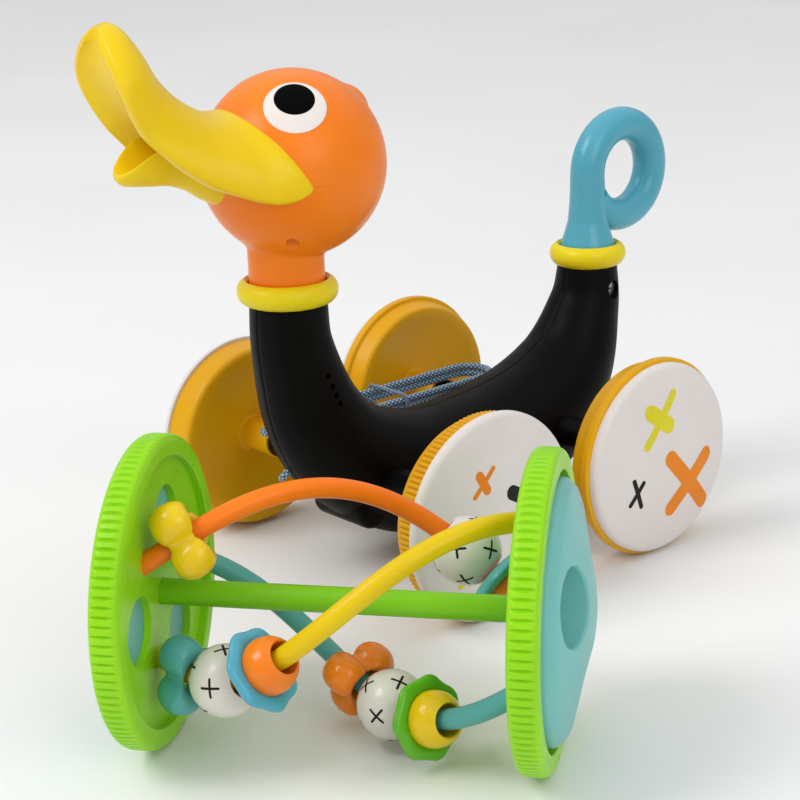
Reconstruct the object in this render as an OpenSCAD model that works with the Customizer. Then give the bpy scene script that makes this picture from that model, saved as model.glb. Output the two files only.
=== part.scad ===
// Pull-along toy duck with a loose bead roller, all sizes in millimetres.
// The duck faces -Y, +X is its left side, +Z is up and the floor is z = 0.

/* [Body] */
// Wall of the moulded body shells
body_wall = 2.5; // [2:0.1:3]
// Radius of the tubes that carry the axles
housing_r = 6; // [5:0.1:7]
// Diameter of each sound hole in the chest
sound_hole_d = 2.2; // [1.5:0.1:3]

/* [Head] */
// Radius of the round head
head_r = 33; // [32:0.1:34]
// How far the head is turned to the duck's right at rest
head_turn = 10; // [0:1:30]
// Radius of the neck that turns inside the collar
neck_r = 13.6; // [13:0.1:13.9]
// Radius of the white of each eye
eye_r = 10.8; // [9:0.1:12]
// Radius of each pupil
pupil_r = 7; // [5:0.1:7]
// Thickness of the upper bill's shell
bill_wall = 3; // [2.4:0.1:3.4]

/* [Tail] */
// Radius of the loop's centre line
loop_r = 18.5; // [17:0.1:20]
// Radius of the rod that forms the loop
loop_rod_r = 6; // [5:0.1:6.4]

/* [Wheels] */
// Diameter of the front discs and the rear flanges, which stand on the floor
wheel_d = 76; // [74:0.5:78]
// Diameter over the ribs of the ribbed front wheel
rib_d = 73; // [72:0.5:74]
// Diameter of the rear discs
rear_disc_d = 73.2; // [72:0.1:75]
// Distance between the front and rear axles
wheel_base = 87; // [84:0.5:90]
// Distance across the wheels, from disc edge to disc edge
track = 147; // [145:0.5:150]
// Diameter of the steel axles
axle_d = 5; // [4:0.1:6]
// How far each disc bulges outwards
disc_bulge = 3.6; // [2:0.1:5]
// Number of ribs on the ribbed front wheel
rib_count = 112; // [60:1:130]

/* [Roller] */
// Diameter over the roller's tread
roller_d = 97.5; // [97:0.5:100]
// Direction of the roller's axle, turned from the duck's axles
roller_turn = 37; // [30:1:40]
// Diameter of the bowed rods
rod_d = 6.4; // [5.8:0.1:6.8]
// Turn of each rod from one wheel to the other
rod_twist = 157; // [140:1:165]
// Radius of the three round recesses in each hub cover
socket_r = 11.6; // [9:0.1:12]
// Number of notches round each roller tread
notch_count = 108; // [60:1:120]

/* [Cord] */
// Diameter of the braided pull cord
cord_d = 2.8; // [2.5:0.1:3]

/* [Hidden] */
$fn = 64;
fine = 192;

// The origin is under the middle of the whole standing toy
frame_shift = [-56, 47, 0];

wheel_r = wheel_d / 2;
axle_r = axle_d / 2;
running_gap = 0.05;
front_y = -wheel_base / 2;
rear_y = wheel_base / 2;
hub_end = 24.6;
hub_r = 6.4;
disc_t = 2.4;
axle_gap = 0.1;
bowl_r = 31;
bowl_depth = 6;
bowl_edge = -13.4;
bowl_wall = 2;
rib_r = rib_d / 2;
tooth_h = 0.9;
housing_in = 7;
housing_end = track / 2 - hub_end - 0.5;

black = "#1b1a18";
orange = "#f07a18";
yellow = "#e8ca16";
wheel_yellow = "#dcae10";
white = "#ded8d4";
teal = "#59a9bc";
green = "#86cc1c";
cover_teal = "#7cc0ba";
steel = "#b8babd";

// Spine of the body from the neck to the tail: y, z and the tube's radius
spine = [
    [-73, 109, 14], [-72, 91, 15], [-64, 65, 18.5], [-49, 46, 21], [-21, 32, 24],
    [9, 31, 24.5], [42, 36, 25], [67, 54, 20], [79, 78, 14.5], [81.5, 95, 12]
];
spine_steps = 5;
half_steps = 14;
neck_y = spine[0][0];
neck_top = spine[0][1];
tail_y = spine[len(spine) - 1][0];
tail_top = spine[len(spine) - 1][1];

cam_r = 7;
cam_throw = 2.5;
collar_h = 9;
collar_out = 4;
spigot_r = 8;
plate_t = 4;
tail_pin_r = 5;
tail_flange_r = 8;
tail_lip = 1.5;

head_back = 4.5;
head_z = 158.3;
seam_z = 155.2;
head_wall = 2.2;
eye_turn = 66.5;
eye_lift = 46.5;
pupil_lift = 51.3;
eye_floor = head_r - 3.2;
pupil_floor = head_r - 1.8;
pin_spots = [[19.4, -7.4], [-19.4, -7.4], [0, 25.2]];
pin_mouth = 128;
pin_floor = 143;
pin_r = 1.25;
pin_head_r = 2.2;
pin_post_r = 3.6;
pin_grip = 7;
post_h = 11;
crown_r = 10.5;
crown_at = head_r - 8;
crown_lift = 38.4;

// Upper bill, from the head to the tip: edge forward and height, half width, ridge forward and height
bill_arches = [
    [4.5, 155.3, 31.4, 19.5, 179.3], [6.5, 153.6, 32, 21.5, 179.7], [11, 151.9, 31.3, 23.2, 179.7],
    [16, 151.6, 30.6, 25, 179.7], [22.4, 153, 29.7, 27.3, 179.9], [29.5, 155.7, 28, 29.7, 180.4],
    [37, 158.9, 25.6, 33, 181.9], [43, 163, 23.5, 36.5, 184], [48.5, 167.6, 21.6, 39.7, 186.3],
    [53.5, 172.6, 20.2, 42.6, 189], [57.4, 177, 19.5, 45, 191.8], [60.8, 182.8, 20.2, 47.3, 194.7],
    [63.2, 188, 20.9, 49.2, 197.7], [64.9, 193, 20.8, 51, 201], [66, 197.6, 18.9, 52.8, 204.2],
    [66.5, 201.6, 16, 54.6, 207], [66.6, 205, 12.6, 56.6, 209.8], [66.4, 208, 8.8, 58.8, 211.7],
    [65.8, 210.5, 4.8, 61.2, 212.8]
];
arch_steps = 16;

// Lower bill, from the head to the tip: forward, height, half width, half thickness, lift of the edges
jaw_slices = [
    [22, 149.5, 9.5, 3.8, 3], [31, 153, 10.5, 3.3, 3.2], [38, 157.1, 11.2, 2.8, 3.6],
    [44, 159, 11.4, 2.6, 4.8], [52, 159.6, 10.9, 2.4, 6.6], [57, 160.2, 8.9, 2.4, 5.2],
    [60.3, 160.6, 6, 2.1, 3], [62.2, 161.4, 2.6, 1.2, 0.8]
];
jaw_sides = 24;

roller_r = roller_d / 2;
roller_place = [111.8, -142.8];
rod_span = 56;
web_in = 58.2;
web_t = 2.4;
ring_in = 55.6;
ring_w = 9.4;
ring_inner_r = 42;
rod_r = rod_d / 2;
rod_start = 40;
rod_left_r = 21;
rod_right_r = 28.5;
rod_bulge = 10;
rod_steps = 40;
rod_sides = 12;
roller_axle_r = 4.1;
web_hole_r = 10.5;
web_hole_at = 22.5;
cover_r = 40;
cover_h = 15.4;
socket_floor = 2;

ball_r = 11;
core_r = 8.8;
lobe_r = 6.2;
lobe_at = 7.1;
clover_hub_r = 7.2;
clover_hub_h = 8;
petal_r = 12.8;
petal_wave = 0.5;
petal_count = 7;
petal_t = 4.4;
petal_back = 4;
bore_mid = 4.4;
bore_mouth = 5.8;

// Route of the pull cord from the chest to the hank
cord_route = [
    [-1.5, -67.5, 48.5], [-3.1, -70.5, 46], [-4.7, -73.5, 43.5], [-8, -73.6, 40.6], [-12.8, -69.5, 38.8],
    [-17.6, -63, 38.4], [-21.6, -57, 39.7], [-24.8, -51.8, 42.6], [-27, -47, 45.1], [-27.9, -42, 45.5],
    [-27.9, -37, 45.5]
];
cord_steps = 2;
hank_y = [-58.6, 58.6];
hank_x = [-47.7, -26.5];
hank_z = housing_r + wheel_r + 0.1;
hank_h = 5.8;
end_knot_at = [-46.3, -33, 48.5];
end_knot_r = 2.6;

// A point on a smooth curve through a list of knots
function curve_point(k, i, t) =
    let (a = k[max(i - 1, 0)], b = k[i], c = k[min(i + 1, len(k) - 1)], d = k[min(i + 2, len(k) - 1)])
    0.5 * (2 * b + (c - a) * t + (2 * a - 5 * b + 4 * c - d) * t * t + (3 * b - a - 3 * c + d) * t * t * t);
function curve(k, steps) = concat(
    [for (i = [0 : len(k) - 2], j = [0 : steps - 1]) curve_point(k, i, j / steps)], [k[len(k) - 1]]);
function unit(v) = v / norm(v);
function tangent(p, i) = unit(p[min(i + 1, len(p) - 1)] - p[max(i - 1, 0)]);

// Closed solid through a list of rings that have the same number of points
module loft(rings) {
    n = len(rings[0]);
    last = len(rings) - 1;
    sides = [for (i = [0 : last - 1], j = [0 : n - 1])
        let (a = i * n + j, b = i * n + (j + 1) % n, c = (i + 1) * n + (j + 1) % n, d = (i + 1) * n + j)
        each [[a, b, c], [a, c, d]]];
    caps = [[for (j = [n - 1 : -1 : 0]) j], [for (j = [0 : n - 1]) last * n + j]];
    polyhedron([for (r = rings) each r], concat(sides, caps));
}

// Closed shell through rings made of an outer arc followed by its inner arc in reverse
module shell_loft(rings) {
    n = len(rings[0]);
    last = len(rings) - 1;
    sides = [for (i = [0 : last - 1], j = [0 : n - 1])
        [i * n + j, i * n + (j + 1) % n, (i + 1) * n + (j + 1) % n, (i + 1) * n + j]];
    first_cap = [for (j = [0 : n / 2 - 2]) [j + 1, j, n - 1 - j, n - 2 - j]];
    last_cap = [for (q = first_cap) [last * n + q[3], last * n + q[2], last * n + q[1], last * n + q[0]]];
    polyhedron([for (r = rings) each r], concat(sides, first_cap, last_cap));
}

module placed() translate(frame_shift) children();

module head_frame() placed() translate([0, neck_y, 0]) rotate(-head_turn) children();

module roller_frame() placed() translate([roller_place[0], roller_place[1], roller_r])
    rotate(roller_turn) children();

// Turns a solid drawn along +Z so that it lies along +X
module along_x() rotate([0, 90, 0]) children();

// Body shells

spine_path = curve(spine, spine_steps);
function spine_at(i) = [0, spine_path[i][0], spine_path[i][1]];
function spine_dir(i) = tangent([for (p = spine_path) [0, p[0], p[1]]], i);
function half_ring(i) =
    let (c = spine_at(i), d = spine_dir(i), up = [0, -d[2], d[1]], r = spine_path[i][2])
    concat(
        [for (j = [0 : half_steps]) let (a = -90 + 180 * j / half_steps)
            c + r * (cos(a) * [1, 0, 0] + sin(a) * up)],
        [for (j = [half_steps : -1 : 0]) let (a = -90 + 180 * j / half_steps)
            c + (r - body_wall) * (cos(a) * [1, 0, 0] + sin(a) * up)]);

// Screws that close the body: y, z, length of the boss and depth of the head's top
screw_spots = [[83.5, 85.5, 10, 9.6], [8, 24, 20.5, 21], [56, 36, 18.5, 19.4]];
screw_boss_r = 5.2;
screw_r = 1.75;
screw_head_r = 3.5;
screw_head_h = 2.2;
screw_tip = 6.5;
cord_hole_r = cord_d / 2 + 0.3;
sound_row = [[-68.8, 83.5], [-67.6, 79.6], [-66.5, 76], [-65.2, 72.8]];

// Left half of the body with its axle tubes, before holes
module half_shell() {
    shell_loft([for (i = [0 : len(spine_path) - 1]) half_ring(i)]);
    for (y = [front_y, rear_y]) translate([housing_in, y, wheel_r]) along_x()
        cylinder(r = housing_r, h = housing_end - housing_in);
    for (s = screw_spots) translate([0, s[0], s[1]]) along_x() cylinder(r = screw_boss_r, h = s[2]);
    half_disc(neck_y, neck_top - plate_t, 13, plate_t);
    half_disc(tail_y, tail_top - plate_t, 10.8, plate_t);
    belly_boss();
}

// Everything above the flat end that the tail stands on
module over_tail() translate([-50, tail_y - 50, tail_top]) cube([100, 100, 50]);

// Round boss under the chest, cut back where the cam turns
module belly_boss() difference() {
    translate([0, -48, 26]) along_x() cylinder(r = 7, h = 15);
    translate([-1, front_y, wheel_r]) along_x() cylinder(r = cam_r + cam_throw + 1, h = 7);
}
module half_disc(y, z, r, h) intersection() {
    translate([0, y, z]) cylinder(r = r, h = h);
    translate([0, y - 50, z - 1]) cube([50, 100, h + 2]);
}

module axle_bores() for (y = [front_y, rear_y])
    translate([-1, y, wheel_r]) along_x() cylinder(r = axle_r + running_gap, h = housing_end + 2);

module shaft_bores() {
    translate([0, neck_y, neck_top - plate_t - 1]) cylinder(r = spigot_r + running_gap, h = plate_t + 2);
    translate([0, tail_y, tail_top - plate_t]) cylinder(r = tail_pin_r + running_gap, h = plate_t + 1);
    translate([0, tail_y, tail_top - plate_t - 0.1])
        cylinder(r = tail_flange_r + 0.2, h = plate_t - tail_lip + 0.1);
}

module body_left() color(black) placed() difference() {
    half_shell();
    over_tail();
    axle_bores();
    shaft_bores();
    for (s = screw_spots) translate([0, s[0], s[1]]) along_x() {
        translate([0, 0, -1]) cylinder(r = screw_r + 0.2, h = 30);
        translate([0, 0, s[3] - screw_head_h]) cylinder(r = screw_head_r + 0.3, h = 20);
    }
    for (s = sound_row) translate([8, s[0], s[1]]) along_x() cylinder(d = sound_hole_d, h = 14);
}

module body_right() color(black) placed() difference() {
    mirror([1, 0, 0]) half_shell();
    over_tail();
    mirror([1, 0, 0]) axle_bores();
    shaft_bores();
    for (s = screw_spots) translate([-screw_tip, s[0], s[1]]) along_x()
        cylinder(r = screw_r, h = screw_tip + 1);
    along(cord_route[0], cord_route[2]) cylinder(r = cord_hole_r, h = 12);
}

// Stands a solid that is drawn along +Z on one point and points it at another
module along(from, to) translate(from)
    rotate([0, acos((to[2] - from[2]) / norm(to - from)), atan2(to[1] - from[1], to[0] - from[0])])
        children();

module body_screws() color(steel) placed() for (s = screw_spots)
    translate([0, s[0], s[1]]) along_x() difference() {
        union() {
            translate([0, 0, -screw_tip]) cylinder(r = screw_r, h = screw_tip + s[3] - 1);
            translate([0, 0, s[3] - screw_head_h]) cylinder(r = screw_head_r, h = screw_head_h);
        }
        for (a = [0, 90]) rotate(a) translate([-2, -0.4, s[3] - 1.2]) cube([4, 0.8, 2]);
    }

// Half-round band round the top of a tube
module collar(r) rotate_extrude() translate([r, 0]) polygon(
    [for (a = [-90 : 10 : 90]) [collar_out * cos(a), collar_h / 2 * sin(a)]]);

module neck_collar() color(yellow) placed() translate([0, neck_y, neck_top + collar_h / 2])
    collar(neck_r + 0.6);

module tail_collar() color(yellow) placed() translate([0, tail_y, tail_top + collar_h / 2])
    collar(tail_root_r + 0.4);

module sound_unit() color("#d8d4c8") placed() translate([0, -66.5, 77]) along_x()
    cylinder(r = 7.5, h = 21.5, center = true);

// Tail

tail_root_r = 11;
stem_r = 7.4;
flare_h = 9;
stem_h = 18;
loop_z = tail_top + collar_h + flare_h + stem_h;
loop_end = 152;
loop_start = 184;

module tail_curl() color(teal) placed() translate([0, tail_y, 0]) {
    translate([0, 0, tail_top - plate_t + 1]) cylinder(r = tail_pin_r, h = plate_t);
    translate([0, 0, tail_top - plate_t + 0.2]) cylinder(r = tail_flange_r, h = plate_t - tail_lip - 0.3);
    translate([0, 0, tail_top]) cylinder(r = tail_root_r, h = collar_h);
    translate([0, 0, tail_top + collar_h]) cylinder(r1 = tail_root_r - 0.2, r2 = stem_r, h = flare_h);
    translate([0, 0, loop_z - stem_h]) cylinder(r1 = stem_r, r2 = loop_rod_r + 0.4, h = stem_h);
    translate([0, loop_r, loop_z]) rotate([90, 0, 90]) rotate(-loop_end)
        rotate_extrude(angle = loop_end + loop_start) translate([loop_r, 0]) circle(r = loop_rod_r);
}

// Head

head_at = [0, head_back, head_z];

module eye_axis(side, lift) translate(head_at) rotate([0, 0, side > 0 ? eye_turn - 90 : -90 - eye_turn])
    rotate([0, 90 - lift, 0]) children();

// Round plugs that start at a given distance from the head's centre
module eye_plugs(r, lift, from) for (side = [-1, 1]) eye_axis(side, lift)
    translate([0, 0, from]) cylinder(r = r, h = head_r - from + 2, $fn = fine);

module head_upper() color(orange) head_frame() difference() {
    union() {
        difference() {
            union() {
                translate(head_at) sphere(r = head_r);
                translate(head_at) rotate([crown_lift, 0, 0]) translate([0, crown_at, 0])
                    sphere(r = crown_r);
            }
            translate(head_at) sphere(r = head_r - head_wall);
            translate([-60, -60, seam_z - 60]) cube([120, 120, 60]);
        }
        head_posts(seam_z, seam_z + post_h);
        head_ribs();
    }
    eye_plugs(eye_r, eye_lift, eye_floor);
    at_head_screws() cylinder(r = pin_r, h = seam_z + pin_grip - pin_mouth);
}

// Ribs that tie the upper posts to the shell
module head_ribs() intersection() {
    translate(head_at) sphere(r = head_r - 0.2);
    for (q = pin_spots) translate([q[0], q[1], seam_z]) rotate(atan2(q[1] - head_back, q[0]))
        translate([pin_post_r - 1, -1, 0]) cube([20, 2, post_h]);
}

module head_lower() color(orange) head_frame() difference() {
    union() {
        difference() {
            translate(head_at) sphere(r = head_r);
            translate(head_at) sphere(r = head_r - head_wall);
            translate([-60, -60, seam_z]) cube([120, 120, 60]);
            cylinder(r = neck_r - head_wall, h = head_z);
        }
        neck();
        head_posts(seam_z - 40, seam_z);
    }
    translate([0, 0, neck_top - plate_t - 1]) cylinder(r = screw_r, h = 2 * plate_t);
    at_head_screws() {
        cylinder(r = pin_head_r + 0.2, h = pin_floor - pin_mouth);
        cylinder(r = pin_r + 0.2, h = 60);
    }
}

// Places of the three screws that hold the two head shells together, from below
module at_head_screws() for (q = pin_spots) translate([q[0], q[1], pin_mouth]) children();

// Posts for the head screws, between two heights
module head_posts(low, high) intersection() {
    translate(head_at) sphere(r = head_r - 0.2);
    at_head_screws() translate([0, 0, low - pin_mouth]) cylinder(r = pin_post_r, h = high - low);
}

module neck() {
    difference() {
        translate([0, 0, neck_top + 0.6]) cylinder(r = neck_r, h = 30);
        translate([0, 0, neck_top + 4]) cylinder(r = neck_r - head_wall, h = 40);
        translate(head_at) sphere(r = head_r - head_wall);
    }
    translate([0, 0, neck_top - plate_t - 0.3]) cylinder(r = spigot_r, h = plate_t + 2);
}

module head_retainer() color("#d8d4c8") head_frame()
    translate([0, 0, neck_top - plate_t - 0.3 - 2]) difference() {
    cylinder(r = 10.5, h = 2);
    translate([0, 0, -1]) cylinder(r = screw_r, h = 4);
}

module neck_screw() color(steel) head_frame() {
    translate([0, 0, neck_top - plate_t - 2.3 - screw_head_h]) cylinder(r = screw_head_r, h = screw_head_h);
    translate([0, 0, neck_top - plate_t - 2.3]) cylinder(r = screw_r, h = 5);
}

module head_screws() color(steel) head_frame() at_head_screws() {
    translate([0, 0, pin_floor - pin_mouth - 2]) cylinder(r = pin_head_r, h = 2);
    translate([0, 0, pin_floor - pin_mouth]) cylinder(r = pin_r, h = seam_z - pin_floor + pin_grip);
}

function arch_ring(a, wall) =
    let (edge = [0, -a[0], a[1]], rise = [0, -a[3], a[4]] - edge, w = a[2],
        inner = 0.45 + 0.4 * min(max((norm(rise) - 14) / 12, 0), 1))
    concat(
        [for (j = [0 : arch_steps]) let (t = -90 + 180 * j / arch_steps)
            edge + rise * cos(t) + [w * sin(t), 0, 0]],
        [for (j = [arch_steps : -1 : 0]) let (t = -90 + 180 * j / arch_steps)
            edge + rise * cos(t) * inner + [(w - wall) * sin(t), 0, 0]]);

module upper_bill() color(yellow) head_frame() difference() {
    shell_loft([for (a = bill_arches) arch_ring(a, bill_wall)]);
    translate(head_at) sphere(r = head_r + 0.05);
}

function jaw_ring(s) = [for (j = [0 : jaw_sides - 1]) let (t = -360 * j / jaw_sides)
    [s[2] * cos(t), -s[0], s[1] + s[3] * sin(t) + s[4] * cos(t) * cos(t)]];

module lower_bill() color(yellow) head_frame() difference() {
    loft([for (s = jaw_slices) jaw_ring(s)]);
    translate(head_at) sphere(r = head_r + 0.05);
}

module eye_whites() color(white) head_frame() difference() {
    intersection() {
        translate(head_at) sphere(r = head_r + 0.2, $fn = fine);
        eye_plugs(eye_r - 0.03, eye_lift, eye_floor + 0.03);
    }
    eye_plugs(pupil_r, pupil_lift, pupil_floor);
}

module pupils() color("#111111") head_frame() intersection() {
    translate(head_at) sphere(r = head_r + 0.3, $fn = fine);
    eye_plugs(pupil_r - 0.03, pupil_lift, pupil_floor + 0.03);
}

// Wheels, drawn along +Z from the disc's edge plane at z = 0

// Height of the bowl-shaped inner face of a wheel
function bowl(r) = bowl_edge + bowl_depth * (1 - pow(r / bowl_r, 2));
bowl_steps = [9 : 3.5 : 30];

// A wheel with a long hub, given the outline of its rim from the inner to the outer edge
module wheel_blank(rim) rotate_extrude() polygon(concat(
    [[axle_r, -hub_end], [hub_r, -hub_end]],
    [for (r = bowl_steps) [r, bowl(r)]],
    [[bowl_r, bowl_edge]],
    rim,
    [[32, -disc_t], [32, bowl_edge + bowl_wall + 0.8]],
    [for (r = [29, 22, 15, 10]) [r, bowl(r) + bowl_wall]],
    [[8, bowl(8) + bowl_wall], [8, -disc_t - 0.2], [axle_r, -disc_t - 0.2]]));

module flanged_wheel() wheel_blank([
    [32.6, -13.5], [33.6, -13.1], [34.5, -12.3], [35, -11.2], [36.2, -6.4], [37.3, -6], [wheel_r, -5.3],
    [wheel_r, -3.7], [37.4, -2.9], [36.6, -disc_t]]);

module plain_wheel() wheel_blank([
    [32.6, -13.5], [34, -13], [35.2, -12], [36, -10.6], [36.4, -9], [36.9, -disc_t]]);

// Outline of a tread with square ribs or notches
module toothed(r, count) polygon([for (i = [0 : 4 * count - 1])
    let (q = i % 4 < 2 ? r : r - tooth_h, a = 360 * i / (4 * count))
    [q * cos(a), q * sin(a)]]);

module ribbed_wheel() {
    blank_r = rib_r - tooth_h / 2;
    wheel_blank([[32.6, -13.5], [33.6, -13.1], [34, -12], [34.2, -9.8], [blank_r, -9.5], [blank_r, -disc_t]]);
    translate([0, 0, -9.4]) linear_extrude(6.9) difference() {
        toothed(rib_r, rib_count);
        circle(r = rib_r - 3);
    }
}

// A domed disc with a rounded edge and a ring that snaps into the wheel
module wheel_disc(r) rotate_extrude() polygon(concat(
    [for (i = [0 : 8]) let (q = i * (r - 2.2) / 8) [q, 1 + disc_bulge * (1 - pow(q / (r - 2.2), 2))]],
    [[r - 1.1, 0.55], [r - 0.4, -0.1], [r - 0.1, -0.8], [r, -1.4], [r, -disc_t], [31.8, -disc_t],
        [31.8, -disc_t - 3], [29.8, -disc_t - 3], [29.8, -disc_t], [0, -disc_t]]));

module at_left(y) placed() translate([track / 2, y, wheel_r]) along_x() children();
module at_right(y) placed() translate([-track / 2, y, wheel_r]) rotate([0, -90, 0]) children();

module front_left_wheel() color(wheel_yellow) at_left(front_y) ribbed_wheel();
module front_right_wheel() color(wheel_yellow) at_right(front_y) plain_wheel();
module rear_left_wheel() color(wheel_yellow) at_left(rear_y) flanged_wheel();
module rear_right_wheel() color(wheel_yellow) at_right(rear_y) flanged_wheel();
module front_left_disc() color(white) at_left(front_y) wheel_disc(wheel_r);
module front_right_disc() color(white) at_right(front_y) wheel_disc(wheel_r);
module rear_left_disc() color(white) at_left(rear_y) wheel_disc(rear_disc_d / 2);
module rear_right_disc() color(white) at_right(rear_y) wheel_disc(rear_disc_d / 2);

module axle(y) placed() translate([0, y, wheel_r]) along_x()
    cylinder(r = axle_r, h = track - 2 * (disc_t + axle_gap), center = true);

module front_axle() color(steel) axle(front_y);
module rear_axle() color(steel) axle(rear_y);

module sound_cam() color("#d8d4c8") placed() translate([0, front_y, wheel_r]) along_x() difference() {
    translate([cam_throw, 0, -4]) cylinder(r = cam_r, h = 8);
    translate([0, 0, -5]) cylinder(r = axle_r, h = 10);
}

// Pull cord

function cord_ring(p, i) =
    let (d = tangent(p, i), s = unit(cross(d, [0, 0, 1])), u = cross(s, d))
    [for (j = [0 : 7]) p[i] + cord_d / 2 * (cos(45 * j) * s - sin(45 * j) * u)];

cord_path = curve(cord_route, cord_steps);

module pull_cord() color("#3e6f8c") placed()
    loft([for (i = [0 : len(cord_path) - 1]) cord_ring(cord_path, i)]);

module cord_end_knot() color("#3e6f8c") placed() translate(end_knot_at) sphere(r = end_knot_r);

module cord_anchor() color("#3e6f8c") placed() translate(cord_route[0]) sphere(r = 3.2);

hank_end_r = (hank_x[1] - hank_x[0]) / 2;
hank_mid_x = (hank_x[0] + hank_x[1]) / 2;

module cord_hank() color("#3e6f8c") placed() translate([hank_mid_x, 0, hank_z]) linear_extrude(hank_h) {
    for (y = [hank_y[0] + hank_end_r, hank_y[1] - hank_end_r]) translate([0, y]) circle(r = hank_end_r);
    translate([-hank_end_r, hank_y[0] + hank_end_r])
        square([2 * hank_end_r, hank_y[1] - hank_y[0] - 2 * hank_end_r]);
}

module cord_tie() color("#3e6f8c") placed() translate([hank_mid_x, 4, hank_z + hank_h / 2]) difference() {
    cube([2 * hank_end_r + 3, 5, hank_h + 3], center = true);
    cube([2 * hank_end_r, 6, hank_h], center = true);
}

// Roller, drawn along +X

function rod_angle(t, turn) = rod_start - rod_twist * t + turn;
function rod_out(t) = rod_left_r + (rod_right_r - rod_left_r) * t + rod_bulge * 4 * t * (1 - t);
function rod_point(t, turn) = let (a = rod_angle(t, turn), r = rod_out(t))
    [(2 * t - 1) * rod_span, -r * sin(a), r * cos(a)];
function rod_dir(t, turn) = unit(rod_point(t + 0.001, turn) - rod_point(t - 0.001, turn));
function rod_side(t, turn) = let (a = rod_angle(t, turn), d = rod_dir(t, turn), n = [0, -sin(a), cos(a)])
    unit(n - (n * d) * d);
function rod_ring(t, turn) = let (d = rod_dir(t, turn), n = rod_side(t, turn), b = cross(d, n))
    [for (j = [0 : rod_sides - 1]) let (a = 360 * j / rod_sides)
        rod_point(t, turn) + rod_r * (cos(a) * n - sin(a) * b)];

// A rod runs on into both webs and ends square inside them
module rod(turn) roller_frame() intersection() {
    loft([for (i = [-2 : rod_steps + 2]) rod_ring(i / rod_steps, turn)]);
    along_x() cylinder(r = roller_r, h = 2 * (web_in + web_t / 2), center = true);
}

// Sets a bead that is drawn along +Z on a rod
module on_rod(t, turn, roll) {
    d = rod_dir(t, turn);
    n = rod_side(t, turn);
    b = cross(d, n);
    p = rod_point(t, turn);
    roller_frame() multmatrix([[n[0], b[0], d[0], p[0]], [n[1], b[1], d[1], p[1]], [n[2], b[2], d[2], p[2]]])
        rotate(roll) children();
}

module bead_bore(half) {
    cylinder(r1 = bore_mid, r2 = bore_mouth, h = half);
    mirror([0, 0, 1]) cylinder(r1 = bore_mid, r2 = bore_mouth, h = half);
}

module clover() difference() {
    union() {
        for (a = [0, 120, 240]) rotate(a) translate([lobe_at, 0, 0]) sphere(r = lobe_r);
        cylinder(r = clover_hub_r, h = clover_hub_h, center = true);
    }
    bead_bore(8);
}

module ball_bead() difference() {
    sphere(r = ball_r);
    bead_bore(ball_r);
}

module flower() difference() {
    translate([0, 0, -petal_back]) linear_extrude(petal_t, center = true)
        polygon([for (i = [0 : 83]) let (a = i * 360 / 84, r = petal_r + petal_wave * cos(petal_count * a))
            [r * cos(a), r * sin(a)]]);
    sphere(r = core_r + 0.03);
}

module flower_core() difference() {
    sphere(r = core_r);
    bead_bore(core_r);
}

module roller_axle() color("#6fb518") roller_frame() along_x()
    cylinder(r = roller_axle_r, h = 2 * (web_in + web_t - 0.6), center = true);

module roller_ring() rotate_extrude() polygon([
    [ring_inner_r, ring_in + 0.6], [ring_inner_r + 0.6, ring_in], [roller_r - 3, ring_in],
    [roller_r - 1.3, ring_in + 0.6], [roller_r - 0.6, ring_in + 1.6], [roller_r - 0.6, ring_in + ring_w - 1.6],
    [roller_r - 1.3, ring_in + ring_w - 0.6], [roller_r - 3, ring_in + ring_w],
    [ring_inner_r + 0.6, ring_in + ring_w], [ring_inner_r, ring_in + ring_w - 0.6]
]);

module roller_tread() translate([0, 0, ring_in + 1.6]) linear_extrude(ring_w - 3.2) difference() {
    toothed(roller_r, notch_count);
    circle(r = roller_r - 2);
}

// Green wheel with three round windows between the rods
module roller_wheel(first_window) {
    roller_ring();
    roller_tread();
    translate([0, 0, web_in]) difference() {
        cylinder(r = ring_inner_r + 0.5, h = web_t);
        translate([0, 0, -1]) cylinder(r = roller_axle_r + running_gap, h = web_t + 2);
        for (i = [0 : 2]) rotate(first_window + 120 * i) translate([web_hole_at, 0, -1])
            cylinder(r = web_hole_r, h = web_t + 2);
    }
}

// Cover with three round blind recesses over the windows of the wheel, which show its flat back
module hub_cover(first_window) translate([0, 0, web_in + web_t]) difference() {
    rotate_extrude() polygon([
        [0, 0], [cover_r, 0], [cover_r, 4], [cover_r - 0.4, 5.2], [cover_r - 1.6, 6.6], [cover_r - 3.6, 8],
        [30, 10], [20.5, 12.3], [14, 13.6], [7, 14.7], [0, cover_h]]);
    for (i = [0 : 2]) rotate(first_window + 120 * i) translate([web_hole_at, 0, socket_floor])
        cylinder(r = socket_r, h = cover_h);
}

// Right and left ends of the roller: local +Z of the wheel points outwards
module right_end() roller_frame() along_x() children();
module left_end() roller_frame() rotate([0, -90, 0]) children();

// Angle of the first window, half way between two rods, as seen along each wheel's own axis
left_window = rod_start + 60;
right_window = rod_start - rod_twist + 60;

function left_turn(a) = -a;
function right_turn(a) = 180 + a;
module roller_wheel_left() color(green) left_end() roller_wheel(left_turn(left_window));
module roller_wheel_right() color(green) right_end() roller_wheel(right_turn(right_window));
module hub_cover_left() color(cover_teal) left_end() hub_cover(left_turn(left_window));
module hub_cover_right() color(cover_teal) right_end() hub_cover(right_turn(right_window));

module orange_rod() color("#f5791b") rod(0);
module yellow_rod() color("#f2ce14") rod(120);
module teal_rod() color("#4f9490") rod(-120);

// Places of the beads along the rods, from 0 at the left wheel to 1 at the right wheel
module yellow_clover() color(yellow) on_rod(0.085, 0, 110) clover();
module upper_ball() color(white) on_rod(0.78, 0, 0) ball_bead();
module teal_flower() color("#4e9c99") on_rod(0.903, 0, 10) flower();
module teal_flower_core() color("#f5811a") on_rod(0.903, 0, 0) flower_core();

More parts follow.
